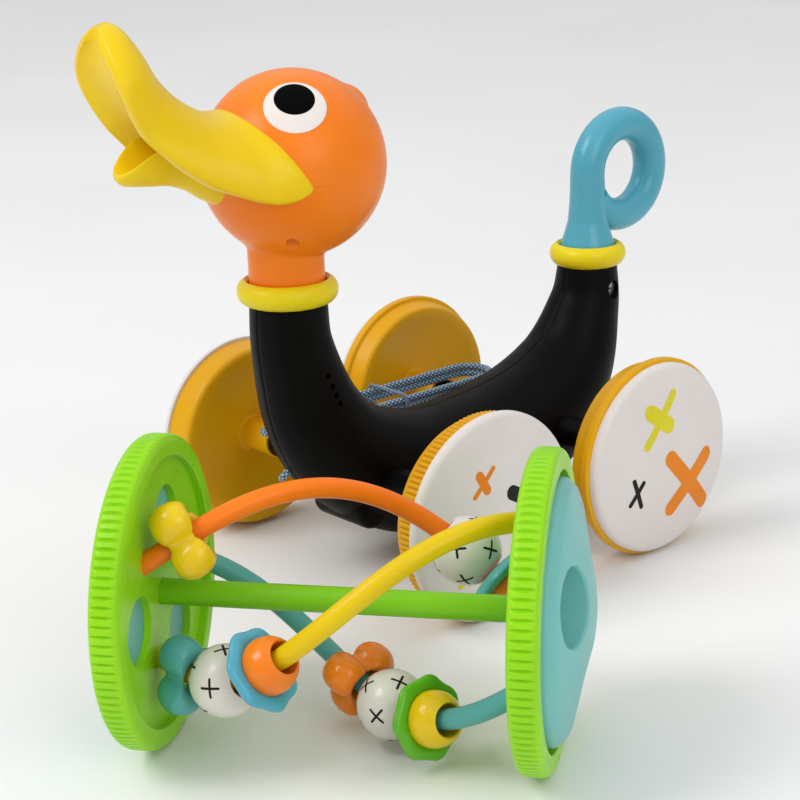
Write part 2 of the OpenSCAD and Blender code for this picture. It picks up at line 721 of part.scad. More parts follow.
module teal_clover() color("#4e9c99") on_rod(0.085, 120, 110) clover();
module front_ball() color(white) on_rod(0.215, 120, 30) ball_bead();
module blue_flower() color(teal) on_rod(0.358, 120, 5) flower();
module blue_flower_core() color("#f5811a") on_rod(0.358, 120, 0) flower_core();

module orange_clover() color("#d9670f") on_rod(0.49, -120, 100) clover();
module lower_ball() color(white) on_rod(0.612, -120, 60) ball_bead();
module green_flower() color("#5fb01e") on_rod(0.752, -120, 20) flower();
module green_flower_core() color("#e2b912") on_rod(0.752, -120, 0) flower_core();

body_left();
body_right();
body_screws();
neck_collar();
tail_collar();
tail_curl();
sound_unit();
head_lower();
head_upper();
upper_bill();
lower_bill();
eye_whites();
pupils();
head_retainer();
neck_screw();
head_screws();
front_axle();
sound_cam();
front_left_wheel();
front_right_wheel();
front_left_disc();
front_right_disc();
rear_axle();
rear_left_wheel();
rear_right_wheel();
rear_left_disc();
rear_right_disc();
cord_anchor();
pull_cord();
cord_hank();
cord_tie();
cord_end_knot();
roller_axle();
roller_wheel_left();
roller_wheel_right();
hub_cover_left();
hub_cover_right();
orange_rod();
yellow_rod();
teal_rod();
yellow_clover();
upper_ball();
teal_flower();
teal_flower_core();
teal_clover();
front_ball();
blue_flower();
blue_flower_core();
orange_clover();
lower_ball();
green_flower();
green_flower_core();
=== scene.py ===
# %% [markdown]
# # A pull-along duck and its bead roller
# The duck is a moulded toy on four wheels, and beside it lies a loose roller whose bowed rods carry beads.
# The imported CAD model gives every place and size.
# This lesson lays smooth, finished surfaces over it, piece by piece, and lights the result.

# %% Frame and units
import math

import bmesh
import bpy
import numpy as np
from mathutils import Matrix


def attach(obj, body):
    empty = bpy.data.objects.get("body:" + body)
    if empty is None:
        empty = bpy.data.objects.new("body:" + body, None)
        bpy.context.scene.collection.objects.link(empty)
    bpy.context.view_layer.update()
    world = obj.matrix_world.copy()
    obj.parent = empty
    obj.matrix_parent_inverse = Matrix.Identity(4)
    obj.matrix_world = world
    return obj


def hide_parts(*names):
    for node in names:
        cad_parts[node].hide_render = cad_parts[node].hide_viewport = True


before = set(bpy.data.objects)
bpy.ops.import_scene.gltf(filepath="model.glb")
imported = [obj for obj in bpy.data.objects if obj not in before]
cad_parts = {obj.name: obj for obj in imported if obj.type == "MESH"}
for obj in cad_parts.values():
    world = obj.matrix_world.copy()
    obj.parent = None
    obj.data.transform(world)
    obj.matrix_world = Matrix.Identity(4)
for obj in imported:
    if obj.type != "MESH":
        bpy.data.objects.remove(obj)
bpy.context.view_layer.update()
MM = 0.001
# The duck is drawn about the point midway between its wheels, and this shift takes it to the shared frame.
DUCK = np.array([-56.0, 47.0, 0.0])
print("nodes", len(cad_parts))

# %% [markdown]
# ## The camera
# The photograph was taken from the duck's front left, a little above its back.
# The camera stands where the wheels' outlines put it, and it is rolled by under two degrees.

# %% Camera
CAMERA_PLACE = np.array([540.55, -489.66, 284.3]) + DUCK
AZIMUTH, ELEVATION, ROLL = (math.radians(a) for a in (49.13, 17.39, -1.9))
back = np.array([math.sin(AZIMUTH) * math.cos(ELEVATION), -math.cos(AZIMUTH) * math.cos(ELEVATION),
                 math.sin(ELEVATION)])
right = np.array([math.cos(AZIMUTH), math.sin(AZIMUTH), 0.0])
up = np.cross(back, right)
rolled_right = math.cos(ROLL) * right + math.sin(ROLL) * up
rolled_up = math.cos(ROLL) * up - math.sin(ROLL) * right
camera = bpy.data.objects.new("camera", bpy.data.cameras.new("camera"))
camera.data.sensor_width = 36
camera.data.lens = 88.77
camera.data.clip_start = 0.01
columns = np.column_stack([rolled_right, rolled_up, back])
stand = Matrix.Translation((CAMERA_PLACE * MM).tolist())
camera.matrix_world = stand @ Matrix(columns.tolist()).to_4x4()
bpy.context.collection.objects.link(camera)
bpy.context.scene.camera = camera
print("camera at", [round(float(x)) for x in CAMERA_PLACE], "mm")

# %% [markdown]
# ## Materials
# Nearly everything is injection-moulded plastic.
# Its colour drifts a little over tens of millimetres, its gloss is broken by handling marks,
# and its skin has a fine ripple like orange peel.
# One function adds a node with its settings and links, and each material is a short recipe.

# %% Material tools
def linear(hex_colour):
    """sRGB hex to the linear values that shaders take."""
    parts = [int(hex_colour[i:i + 2], 16) / 255 for i in (1, 3, 5)]
    return tuple(c / 12.92 if c <= 0.04045 else ((c + 0.055) / 1.055) ** 2.4 for c in parts) + (1.0,)


def add(tree, kind, values=None, links=None, settings=None):
    """Adds a shader node, sets its properties and socket values, and links its inputs."""
    node = tree.nodes.new("ShaderNode" + kind)
    for key, value in (settings or {}).items():
        setattr(node, key, value)
    for key, value in (values or {}).items():
        node.inputs[key].default_value = value
    for key, source in (links or {}).items():
        tree.links.new(source, node.inputs[key])
    return node


def ramp(tree, factor, *stops):
    """The colour output of a ramp between two stops of (position, hex colour)."""
    node = add(tree, "ValToRGB", None, {"Fac": factor})
    for i, (position, colour) in enumerate(stops):
        node.color_ramp.elements[i].position = position
        node.color_ramp.elements[i].color = linear(colour)
    return node.outputs["Color"]


def new_material(name):
    """An empty node material with its output node."""
    material = bpy.data.materials.new(name)
    material.use_nodes = True
    tree = material.node_tree
    tree.nodes.clear()
    return material, tree, add(tree, "OutputMaterial")


MARKS_MM, PEEL_MM, PEEL_HEIGHT_MM = 9.0, 1.6, 0.2


def moulded(name, colour, shade, rough=0.34, drift_mm=45.0, peel=0.05, shine=0.22):
    """Moulded plastic: two close colours, uneven gloss and a rippled skin."""
    material, tree, output = new_material(name)
    place = {"Vector": add(tree, "TexCoord").outputs["Object"]}
    drift = add(tree, "TexNoise", {"Scale": 1 / (drift_mm * MM), "Detail": 3.0}, place)
    tone = ramp(tree, drift.outputs["Fac"], (0.3, shade), (0.62, colour))
    marks = add(tree, "TexNoise", {"Scale": 1 / (MARKS_MM * MM), "Detail": 5.0}, place)
    limits = {"From Min": 0.3, "From Max": 0.75, "To Min": rough - 0.03, "To Max": rough + 0.07}
    gloss = add(tree, "MapRange", limits, {"Value": marks.outputs["Fac"]})
    skin = add(tree, "TexNoise", {"Scale": 1 / (PEEL_MM * MM), "Detail": 2.0}, place)
    bump = add(tree, "Bump", {"Strength": peel, "Distance": PEEL_HEIGHT_MM * MM},
               {"Height": skin.outputs["Fac"]})
    shader = add(tree, "BsdfPrincipled", {"IOR": 1.48, "Specular IOR Level": shine},
                 {"Base Color": tone, "Roughness": gloss.outputs["Result"], "Normal": bump.outputs["Normal"]})
    tree.links.new(shader.outputs["BSDF"], output.inputs["Surface"])
    return material


# %% Plastics
body_black = moulded("ABS_black_satin", "#0c0b0a", "#080707", 0.42, shine=0.07)
head_orange = moulded("ABS_orange_satin", "#f6831a", "#f27815", 0.29)
bill_yellow = moulded("ABS_yellow_satin", "#efcc12", "#e9c20e", 0.29)
collar_yellow = moulded("ABS_lemon_satin", "#ead41a", "#e2cb16", 0.29)
wheel_yellow = moulded("ABS_amber_satin", "#e2a80c", "#da9d0a", 0.33)
disc_white = moulded("ABS_white_satin", "#e2dbd7", "#dcd4d0", 0.38)
tail_teal = moulded("ABS_teal_satin", "#55a8bd", "#4ea0b5", 0.22, shine=0.36)
roller_green = moulded("ABS_green_satin", "#97d91c", "#8ccf18", 0.29)
axle_green = moulded("ABS_deep_green_satin", "#7fc61a", "#75ba17", 0.29)
cover_teal = moulded("ABS_pale_teal_satin", "#78bdb8", "#71b4af", 0.34)
rod_orange = moulded("ABS_rod_orange_satin", "#fa7d17", "#f57412", 0.3)
rod_yellow = moulded("ABS_rod_yellow_satin", "#e4c410", "#dcb90d", 0.3)
rod_teal = moulded("ABS_rod_teal_satin", "#5aa5a1", "#549d99", 0.3)
bead_white = moulded("ABS_ivory_gloss", "#ddd8d0", "#d6d0c7", 0.2, shine=0.4)
bead_teal = moulded("ABS_bead_teal_gloss", "#56a8a5", "#4f9f9c", 0.2, shine=0.4)
bead_orange = moulded("ABS_bead_orange_gloss", "#f28518", "#ea7a13", 0.2, shine=0.4)
bead_yellow = moulded("ABS_bead_yellow_gloss", "#eac510", "#e2bb0d", 0.2, shine=0.4)
flower_green = moulded("ABS_leaf_green_gloss", "#63b421", "#5aa91c", 0.22, shine=0.4)
inner_grey = moulded("ABS_natural_matt", "#d8d4c8", "#d0cbbe", 0.5)
ink_black = moulded("pad_print_black_ink", "#1a1614", "#151210", 0.45, 12.0, shine=0.2)
ink_orange = moulded("pad_print_orange_ink", "#e9850f", "#e37d0c", 0.42, 12.0)
ink_yellow = moulded("pad_print_yellow_ink", "#ddd22a", "#d6ca22", 0.42, 12.0)
eye_white = moulded("pad_print_white_gloss", "#e9e1dc", "#e4dbd6", 0.3, 30.0)
pupil_black = moulded("pad_print_black_gloss", "#060505", "#040404", 0.3, 30.0, shine=0.03)
print("plastics", len(bpy.data.materials))

# %% [markdown]
# Screws and axles are plain steel with fine drawing marks along one axis.
# The cord is a braid of blue yarns with white ones: two sets of slanted bands cross, and white shows where
# both are high. The single yarns are finer than a pixel, so the shader draws them and its bump lifts them.

# %% Steel and braid
def drawn_steel(name):
    """Plain steel wire with fine lengthwise marks."""
    material, tree, output = new_material(name)
    place = add(tree, "TexCoord").outputs["Object"]
    stretch = add(tree, "Mapping", {"Scale": (200.0, 4000.0, 4000.0)}, {"Vector": place})
    marks = add(tree, "TexNoise", {"Scale": 1.0, "Detail": 4.0}, {"Vector": stretch.outputs["Vector"]})
    tone = ramp(tree, marks.outputs["Fac"], (0.0, "#9a9c9f"), (1.0, "#c4c6c9"))
    rough = add(tree, "MapRange", {"To Min": 0.25, "To Max": 0.42}, {"Value": marks.outputs["Fac"]})
    shader = add(tree, "BsdfPrincipled", {"Metallic": 1.0},
                 {"Base Color": tone, "Roughness": rough.outputs["Result"]})
    tree.links.new(shader.outputs["BSDF"], output.inputs["Surface"])
    return material


def braided(name, yarn, fleck):
    """Braid over UVs that count diameters, first round the cord and then along it."""
    material, tree, output = new_material(name)
    flat = add(tree, "TexCoord").outputs["UV"]
    bands = {}
    for i, lean in enumerate((40, -40)):
        slant = add(tree, "Mapping", {"Rotation": (0.0, 0.0, math.radians(lean))}, {"Vector": flat})
        wave = add(tree, "TexWave", {"Scale": 0.62, "Distortion": 0.4, "Detail": 1.0},
                   {"Vector": slant.outputs["Vector"]}, {"bands_direction": "X"})
        bands[i] = wave.outputs["Fac"]
    both = add(tree, "Math", None, bands, {"operation": "MULTIPLY"})
    tone = ramp(tree, both.outputs["Value"], (0.5, yarn), (0.68, fleck))
    lay = add(tree, "Math", None, bands, {"operation": "MAXIMUM"})
    bump = add(tree, "Bump", {"Strength": 0.6, "Distance": 0.4 * MM}, {"Height": lay.outputs["Value"]})
    shader = add(tree, "BsdfPrincipled", {"Roughness": 0.75, "Sheen Weight": 0.3},
                 {"Base Color": tone, "Normal": bump.outputs["Normal"]})
    tree.links.new(shader.outputs["BSDF"], output.inputs["Surface"])
    return material


steel = drawn_steel("steel_wire_plain")
cord_braid = braided("polyester_braid_blue_white", "#33607d", "#d9dde0")
print("steel and braid ready")

# %% [markdown]
# ## Surfaces
# Every surface here is a grid of points: a profile turned round an axis, a section swept along a path, or
# rings through a list of shapes.
# A piece is made from such a grid in millimetres, welded, given outward normals and tied to the CAD body
# that it moves with.

# %% Surface tools
WELD = 2e-6


def welded_mesh(name, points, faces):
    """A mesh from points in millimetres, with doubles merged and its normals outwards."""
    mesh = bpy.data.meshes.new(name)
    mesh.from_pydata((np.asarray(points) * MM).tolist(), [], faces)
    work = bmesh.new()
    work.from_mesh(mesh)
    bmesh.ops.remove_doubles(work, verts=work.verts, dist=WELD)
    bmesh.ops.recalc_face_normals(work, faces=work.faces)
    work.to_mesh(mesh)
    work.free()
    return mesh


def piece(name, points, faces, material, body, nodes=(), slot=None, sharp=40.0):
    """A mesh piece from points in millimetres that rides on a body and may stand for CAD nodes."""
    mesh = welded_mesh(name, points, faces)
    mesh.polygons.foreach_set("use_smooth", [True] * len(mesh.polygons))
    mesh.set_sharp_from_angle(angle=math.radians(sharp))
    mesh.materials.append(material)
    obj = bpy.data.objects.new(name, mesh)
    bpy.context.collection.objects.link(obj)
    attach(obj, body)
    if nodes:
        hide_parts(*nodes)
    return obj


def grid_faces(rows, columns, wrap_rows=False, wrap_columns=True):
    """Quads of a grid of points that is stored row by row."""
    faces = []
    for i in range(rows if wrap_rows else rows - 1):
        for j in range(columns if wrap_columns else columns - 1):
            a, b = i % rows, (i + 1) % rows
            c, d = j % columns, (j + 1) % columns
            faces.append((a * columns + c, a * columns + d, b * columns + d, b * columns + c))
    return faces


def lofted(rings):
    """(points, faces) of a tube through rings of equal count, with one face over each end."""
    count, sides = len(rings), len(rings[0])
    last = (count - 1) * sides
    caps = [tuple(range(sides)), tuple(range(last, last + sides))]
    return np.vstack(rings), grid_faces(count, sides) + caps


def join(parts):
    """Several (points, faces) as one."""
    points, faces = [], []
    for more_points, more_faces in parts:
        faces += [tuple(i + len(points) for i in face) for face in more_faces]
        points += [tuple(p) for p in np.asarray(more_points)]
    return np.array(points), faces


def soften(outline, steps=5, closed=False):
    """Rounds the corners of a 2-D outline whose points are (a, b) or (a, b, radius)."""
    count = len(outline)
    result = []
    for i, corner in enumerate(outline):
        point = np.array(corner[:2], float)
        radius = corner[2] if len(corner) > 2 else 0
        if radius == 0 or (not closed and i in (0, count - 1)):
            result.append(point)
            continue
        before = np.array(outline[i - 1][:2], float) - point
        after = np.array(outline[(i + 1) % count][:2], float) - point
        reach_a, reach_b = np.linalg.norm(before), np.linalg.norm(after)
        turn = math.acos(np.clip(np.dot(before, after) / (reach_a * reach_b), -1, 1))
        cut = min(radius / math.tan(turn / 2), 0.49 * reach_a, 0.49 * reach_b)
        first, last = point + before / reach_a * cut, point + after / reach_b * cut
        for t in np.linspace(0, 1, steps + 1):
            result.append((1 - t) ** 2 * first + 2 * t * (1 - t) * point + t * t * last)
    return np.array(result)


def circle(sides):
    """Angles of equal steps round a circle, in radians."""
    return np.arange(sides) * 2 * math.pi / sides


def turned(profile, sides=96, closed=False):
    """(points, faces) of a profile of (radius, height) turned round +Z."""
    angles = circle(sides)
    profile = np.asarray(profile, float)
    points = np.stack([np.outer(profile[:, 0], np.cos(angles)), np.outer(profile[:, 0], np.sin(angles)),
                       np.repeat(profile[:, 1:2], sides, 1)], -1).reshape(-1, 3)
    return points, grid_faces(len(profile), sides, closed)


def smooth_path(knots, steps):
    """Catmull-Rom curve through knots of any dimension."""
    knots = np.asarray(knots, float)
    padded = np.vstack([2 * knots[0] - knots[1], knots, 2 * knots[-1] - knots[-2]])
    result = []
    for i in range(len(knots) - 1):
        a, b, c, d = padded[i:i + 4]
        for t in np.arange(steps) / steps:
            result.append(0.5 * (2 * b + (c - a) * t + (2 * a - 5 * b + 4 * c - d) * t ** 2
                                 + (3 * b - a - 3 * c + d) * t ** 3))
    return np.array(result + [knots[-1]])


def path_normals(path):
    """Two unit normals at each point of a path, carried along it without twist."""
    tangents = np.gradient(path, axis=0)
    tangents /= np.linalg.norm(tangents, axis=1, keepdims=True)
    seed = np.cross(tangents[0], [0, 0, 1.0])
    if np.linalg.norm(seed) < 0.1:
        seed = np.cross(tangents[0], [1.0, 0, 0])
    sides = []
    for tangent in tangents:
        seed = seed - np.dot(seed, tangent) * tangent
        seed /= np.linalg.norm(seed)
        sides.append(seed)
    return np.array(sides), np.cross(tangents, sides)


def swept(path, radii, sides=32):
    """(points, faces) of a round tube along a path, closed at both ends."""
    path = np.asarray(path, float)
    radii = np.broadcast_to(radii, len(path))
    side, other = path_normals(path)
    angles = circle(sides)
    ring = np.cos(angles)[None, :, None] * side[:, None] + np.sin(angles)[None, :, None] * other[:, None]
    return lofted(path[:, None] + radii[:, None, None] * ring)


def placed(points, origin, axis, start=(0, 0, 1)):
    """Points drawn about +Z, moved so that +Z lies along axis and +X leans towards start."""
    axis = np.asarray(axis, float) / np.linalg.norm(axis)
    first = np.asarray(start, float) - np.dot(start, axis) * axis
    first /= np.linalg.norm(first)
    turn = np.column_stack([first, np.cross(axis, first), axis])
    return np.asarray(points) @ turn.T + np.asarray(origin)


def turned_about_z(points, angle, origin):
    """Points turned about +Z and then moved to an origin."""
    c, s = math.cos(angle), math.sin(angle)
    return np.asarray(points, float) @ np.array([[c, s, 0], [-s, c, 0], [0, 0, 1]]) + origin


# %% [markdown]
# ## The pull cord
# The cord comes out of the chest, tucks under the breast to the duck's right side
# and is folded into a hank that lies along the body on the two fixed axle tubes.
# It is a tube whose path is written out, so its length can be measured: half a metre.

# %% Cord path
CORD_D = 2.8
CORD_LENGTH = 0.5
CORD_ROUTE = [(-1.5, -67.5, 48.5), (-3.1, -70.5, 46), (-4.7, -73.5, 43.5), (-8, -73.6, 40.6),
              (-12.8, -69.5, 38.8), (-17.6, -63, 38.4), (-21.6, -57, 39.7), (-24.8, -51.8, 42.6),
              (-27, -47, 45.1), (-27.9, -42, 45.5), (-27.9, -37, 45.5)]
HANK_X, HANK_FOLD, HANK_RUN, HANK_START = -37.1, 9.2, 48.0, -37.0
HANK_Z, LAYER = 45.5, 2.95


def hank_path(turns=2, step=2.0):
    """Stadium turns lying on one another; each front fold climbs one layer."""
    points = []
    for turn in range(turns + 1):
        z = HANK_Z + turn * LAYER
        inner, outer = HANK_X + HANK_FOLD, HANK_X - HANK_FOLD
        points += [(inner, y, z) for y in np.arange(-HANK_RUN if turn else HANK_START, HANK_RUN, step)]
        points += [(HANK_X + HANK_FOLD * math.cos(a), HANK_RUN + HANK_FOLD * math.sin(a), z)
                   for a in np.linspace(0, math.pi, 15)]
        points += [(outer, y, z) for y in np.arange(HANK_RUN - step, -HANK_RUN, -step)]
        for a in np.linspace(0, math.pi, 15)[:-1]:
            rise = 0.5 - 0.5 * math.cos(a)
            points.append((HANK_X - HANK_FOLD * math.cos(a), -HANK_RUN - HANK_FOLD * math.sin(a),
                           z + LAYER * rise))
    return points


def cut_to_length(path, length):
    """The first stretch of a path that has the given length."""
    steps = np.r_[0, np.cumsum(np.linalg.norm(np.diff(path, axis=0), axis=1))]
    wanted = np.arange(0, length, 0.9).tolist() + [length]
    return np.column_stack([np.interp(wanted, steps, path[:, k]) for k in range(3)])


lead_in = smooth_path(CORD_ROUTE, 6)
cord_line = cut_to_length(np.vstack([lead_in[:-1], hank_path()]), CORD_LENGTH / MM) + DUCK
print("cord", len(cord_line), "points, ends at", cord_line[-1].round(1))

# %% [markdown]
# The tube is given UVs in diameters, so that the braid keeps its size along the whole cord.
# The far end is a knot that lies on the hank, and a short tie of the same cord holds the runs together.

# %% Cord, knot and tie
def cord_tube(name, line, diameter, sides=12):
    """A cord of round section with UVs that count diameters round and along it."""
    points, faces = swept(line, diameter / 2, sides)
    obj = piece(name, points, faces, cord_braid, "duck", slot="cord")
    walls = obj.data.uv_layers.new(name="UVMap")
    line = np.asarray(line)
    along = np.r_[0, np.cumsum(np.linalg.norm(np.diff(line, axis=0), axis=1))] / diameter
    lengths = np.repeat(along, sides)
    columns = np.tile(np.arange(sides), len(line))
    for face in obj.data.polygons:
        seam = any(columns[v] == sides - 1 for v in face.vertices)
        for loop in face.loop_indices:
            v = obj.data.loops[loop].vertex_index
            turn = columns[v] + (sides if seam and columns[v] == 0 else 0)
            walls.data[loop].uv = (turn * math.pi / sides, lengths[v])
    return obj


def knot_line(radius, turns=2.0, rise=2.2):
    """A small overhand-like bundle: a coil that tucks back through its middle."""
    t = np.linspace(0, 1, 60)
    a = 2 * math.pi * turns * t
    return np.column_stack([radius * np.cos(a), radius * np.sin(a), rise * (t - 0.5) + 0.6 * np.sin(3 * a)])


pull_cord = cord_tube("pull_cord_braid", cord_line, CORD_D)
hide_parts("pull_cord", "cord_hank")
KNOT_D = CORD_D * 0.8
knot = knot_line(2.0)
knot_place = cord_line[-1] + np.array([0, -1.5, 0])
end_knot = cord_tube("cord_free_end_knot", placed(knot, knot_place, (0, 1, 0)), KNOT_D)
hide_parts("cord_end_knot")
inner_knot = cord_tube("cord_inner_knot", placed(knot, cord_line[0], (0.3, 0.85, 0.3)), KNOT_D)
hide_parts("cord_anchor")
TIE_D, TIE_ROUND, TIE_Y, TIE_END_Y = 1.4, 2.4, 4.0, 5.6
tie_half, tie_low, tie_high = HANK_FOLD + 2.2, HANK_Z - 2.4, HANK_Z + LAYER + 2.4
tie_outline = soften([(HANK_X - tie_half, tie_low, TIE_ROUND), (HANK_X + tie_half, tie_low, TIE_ROUND),
                      (HANK_X + tie_half, tie_high, TIE_ROUND), (HANK_X - tie_half, tie_high, TIE_ROUND)],
                     5, True)
tie_line = [(a, TIE_Y, b) for a, b in tie_outline]
tie_line.append((tie_outline[0][0], TIE_END_Y, tie_outline[0][1]))
tie = cord_tube("cord_tie_twine", np.array(tie_line) + DUCK, TIE_D, 10)
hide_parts("cord_tie")
print("cord laid")

# %% [markdown]
# ## The body
# The body is a bent tube in two mirrored shells that meet on the middle plane.
# Each shell is swept along the same spine as the CAD, with many more rings, and its edges dip a little so
# that the parting line shows.
# Sound holes and the screw's recess are cut through the wall.

# %% Body shells
SPINE = [(-73, 109, 14), (-72, 91, 15), (-64, 65, 18.5), (-49, 46, 21), (-21, 32, 24), (9, 31, 24.5),
         (42, 36, 25), (67, 54, 20), (79, 78, 14.5), (81.5, 95, 12)]
BODY_WALL = 2.5
SEAM_DIP, SEAM_WIDTH = 0.28, 0.55
spine = smooth_path(SPINE, 14)


def half_section():
    """Angles round half a tube, close together near the seam."""
    near = np.array([0.0, 0.35, 0.8, 1.4, 2.4, 4.0])
    side = np.r_[-90 + near, np.linspace(-84, 84, 43), 90 - near[::-1]]
    return np.radians(side)


def body_half(side):
    """(points, faces) of one closed half-shell; side is +1 on the duck's left."""
    tangents = np.gradient(spine[:, :2], axis=0)
    tangents /= np.linalg.norm(tangents, axis=1, keepdims=True)
    angles = half_section()
    rings = []
    for (y, z, r), (ty, tz) in zip(spine, tangents):
        gap = r * (math.pi / 2 - np.abs(angles))
        outer = r - SEAM_DIP * np.exp(-(gap / SEAM_WIDTH) ** 2)
        skins = []
        for radius, order in ((outer, 1), (np.full_like(outer, r - BODY_WALL), -1)):
            across = radius * np.cos(angles)
            lift = radius * np.sin(angles)
            skins.append(np.column_stack([side * across, y - lift * tz, z + lift * ty])[::order])
        rings.append(np.vstack(skins) + DUCK)
    return lofted(rings)


def cut(obj, points, faces):
    """Subtracts a closed solid from a piece and applies the result."""
    mesh = welded_mesh("cutter", points, faces)
    cutter = bpy.data.objects.new("cutter", mesh)
    bpy.context.collection.objects.link(cutter)
    modifier = obj.modifiers.new("cut", "BOOLEAN")
    modifier.object = cutter
    modifier.operation = "DIFFERENCE"
    modifier.solver = "EXACT"
    bpy.context.view_layer.update()
    result = bpy.data.meshes.new_from_object(obj.evaluated_get(bpy.context.evaluated_depsgraph_get()))
    obj.modifiers.clear()
    old = obj.data
    obj.data = result
    result.name = old.name
    bpy.data.meshes.remove(old)
    bpy.data.objects.remove(cutter)
    bpy.data.meshes.remove(mesh)


SIDES = ((1, "left"), (-1, "right"))
shells = {}
for side, name in SIDES:
    shells[name] = piece(f"body_shell_{name}", *body_half(side), body_black, "duck", [f"body_{name}"],
                         "black_plastic", 50)
SOUND_HOLES, SOUND_HOLE_R = [(-68.8, 83.5), (-67.6, 79.6), (-66.5, 76), (-65.2, 72.8)], 1.1
holes = [swept(np.array([(10, y, z), (22, y, z)]) + DUCK, SOUND_HOLE_R, 20) for y, z in SOUND_HOLES]
cut(shells["left"], *join(holes))
TAIL_SCREW, RECESS_R, RECESS_FLOOR = (83.5, 85.5), 3.8, 7.4
recess = np.array([(RECESS_FLOOR, *TAIL_SCREW), (18, *TAIL_SCREW)])
cut(shells["left"], *swept(recess + DUCK, RECESS_R))
print("shells", [len(shell.data.polygons) for shell in shells.values()])

# %% [markdown]
# The axle tubes are moulded with the shells, so they are black too, with a small round at their ends.
# Under the chest sits a short round boss.
# They simply run into the shells: where black meets black, a boolean union would look no different.

# %% Axle tubes and boss
WHEEL_R, FRONT_Y, REAR_Y = 38.0, -43.5, 43.5
HOUSING_R, HOUSING_END = 6.0, 48.4
housing = turned(soften([(2.6, HOUSING_END - 6), (2.6, HOUSING_END, 0.4), (HOUSING_R, HOUSING_END, 0.9),
                         (HOUSING_R, 12)]), 48)
for side, name in SIDES:
    tubes = [(placed(housing[0], DUCK + np.array([0, y, WHEEL_R]), (side, 0, 0)), housing[1])
             for y in (FRONT_Y, REAR_Y)]
    piece(f"axle_tubes_{name}", *join(tubes), body_black, "duck", slot="black_plastic")
BOSS_R, BOSS_END, BOSS_ROUND, BOSS_PLACE = 7.0, 15.0, 4.0, np.array([0, -48, 26])
boss = turned(soften([(0, 0), (BOSS_R, 0), (BOSS_R, BOSS_END, BOSS_ROUND), (0, BOSS_END)], 8), 48)
for side, name in SIDES:
    piece(f"belly_boss_{name}", placed(boss[0], DUCK + BOSS_PLACE, (side, 0, 0)), boss[1], body_black, "duck",
          slot="black_plastic")
print("tubes and boss added")

# %% [markdown]
# ## Collars and tail
# Each collar is a half-round band.
# The tail is one rod: it rises from a flared foot, makes one open loop and tucks its end against its own
# stem.

# %% Collars and tail
def collar_profile(inner, depth, height):
    """Half-round band with softened inner edges."""
    bend = [(inner + depth * math.cos(a), height / 2 * math.sin(a))
            for a in np.linspace(-math.pi / 2 + 0.25, math.pi / 2 - 0.25, 21)]
    return [(inner, -height / 2 + 1.2)] + bend + [(inner, height / 2 - 1.2)]


COLLAR_H, COLLAR_DEPTH = 9.0, 4.0
for name, inner, (y, z, _) in (("neck", 14.2, SPINE[0]), ("tail", 11.4, SPINE[-1])):
    points, faces = turned(collar_profile(inner, COLLAR_DEPTH, COLLAR_H), 96, True)
    piece(f"{name}_collar_ring", points + DUCK + np.array([0, y, z + COLLAR_H / 2]), faces, collar_yellow,
          "duck", [f"{name}_collar"], "bill_yellow")

TAIL_Y, STEM_LOW, LOOP_R, LOOP_Z = SPINE[-1][0], 91, 18.5, 131.0
stem = [(0, TAIL_Y, z) for z in np.linspace(STEM_LOW, LOOP_Z, 30)[:-1]]
loop_angles = np.radians(np.linspace(180, -150, 110))
loop = [(0, TAIL_Y + LOOP_R + LOOP_R * math.cos(a), LOOP_Z + LOOP_R * math.sin(a)) for a in loop_angles]
ROD_FOOT_R, ROD_END_R = 6.9, 6.6
foot = np.interp([p[2] for p in stem], [STEM_LOW, 103, 104, 108, 113, 120, LOOP_Z],
                 [11, 11, 10.8, 9.4, 8.0, 7.3, ROD_FOOT_R])
thin = np.linspace(ROD_FOOT_R, ROD_END_R, len(loop))
tail = swept(np.array(stem + loop) + DUCK, np.r_[foot, thin], 40)
piece("tail_loop_rod", *tail, tail_teal, "duck", ["tail_curl"], "tail_teal")
print("collars and tail added")

# %% [markdown]
# ## The head
# The head is a ball that sits a little behind the neck's axis.
# Each height has one ring: the ball's circle and the neck's circle are blended by a smooth maximum, which
# leaves a small fillet under the ball that two joined primitives wouldn't have.
# The two shells part on a level line, and a shallow dip marks it; three screw holes run up into the lower
# shell.

# %% Head shells
HEAD_R, HEAD_BACK, HEAD_Z, HEAD_TURN = 33.0, 4.5, 158.3, math.radians(-10)
NECK_R, NECK_LOW, PART_Z = 13.6, 109.6, 155.2
NECK_TOP, NECK_FILLET, HEAD_SEAM_DIP, HEAD_SEAM_WIDTH = 150.0, 3.2, 0.08, 0.35
# The rings' middle moves back from the neck's axis to the ball's over this stretch of height.
SHIFT_LOW, SHIFT_RUN = 128.0, 24.0
NECK = DUCK + np.array([0, SPINE[0][0], 0])


def on_neck(points):
    """Points drawn about the neck's axis, facing -Y, turned and moved to the duck."""
    return turned_about_z(points, HEAD_TURN, NECK)


def circle_reach(centre, radius, angles):
    """Distance from the origin to a circle centred at (0, centre), by direction."""
    along = centre * np.sin(angles)
    return along + np.sqrt(np.maximum(radius ** 2 - centre ** 2 + along ** 2, 0))


def smooth_max(a, b, blend):
    """Larger of two lengths with a rounded change-over."""
    h = np.clip(0.5 + 0.5 * (a - b) / blend, 0, 1)
    return b + (a - b) * h + blend * h * (1 - h)


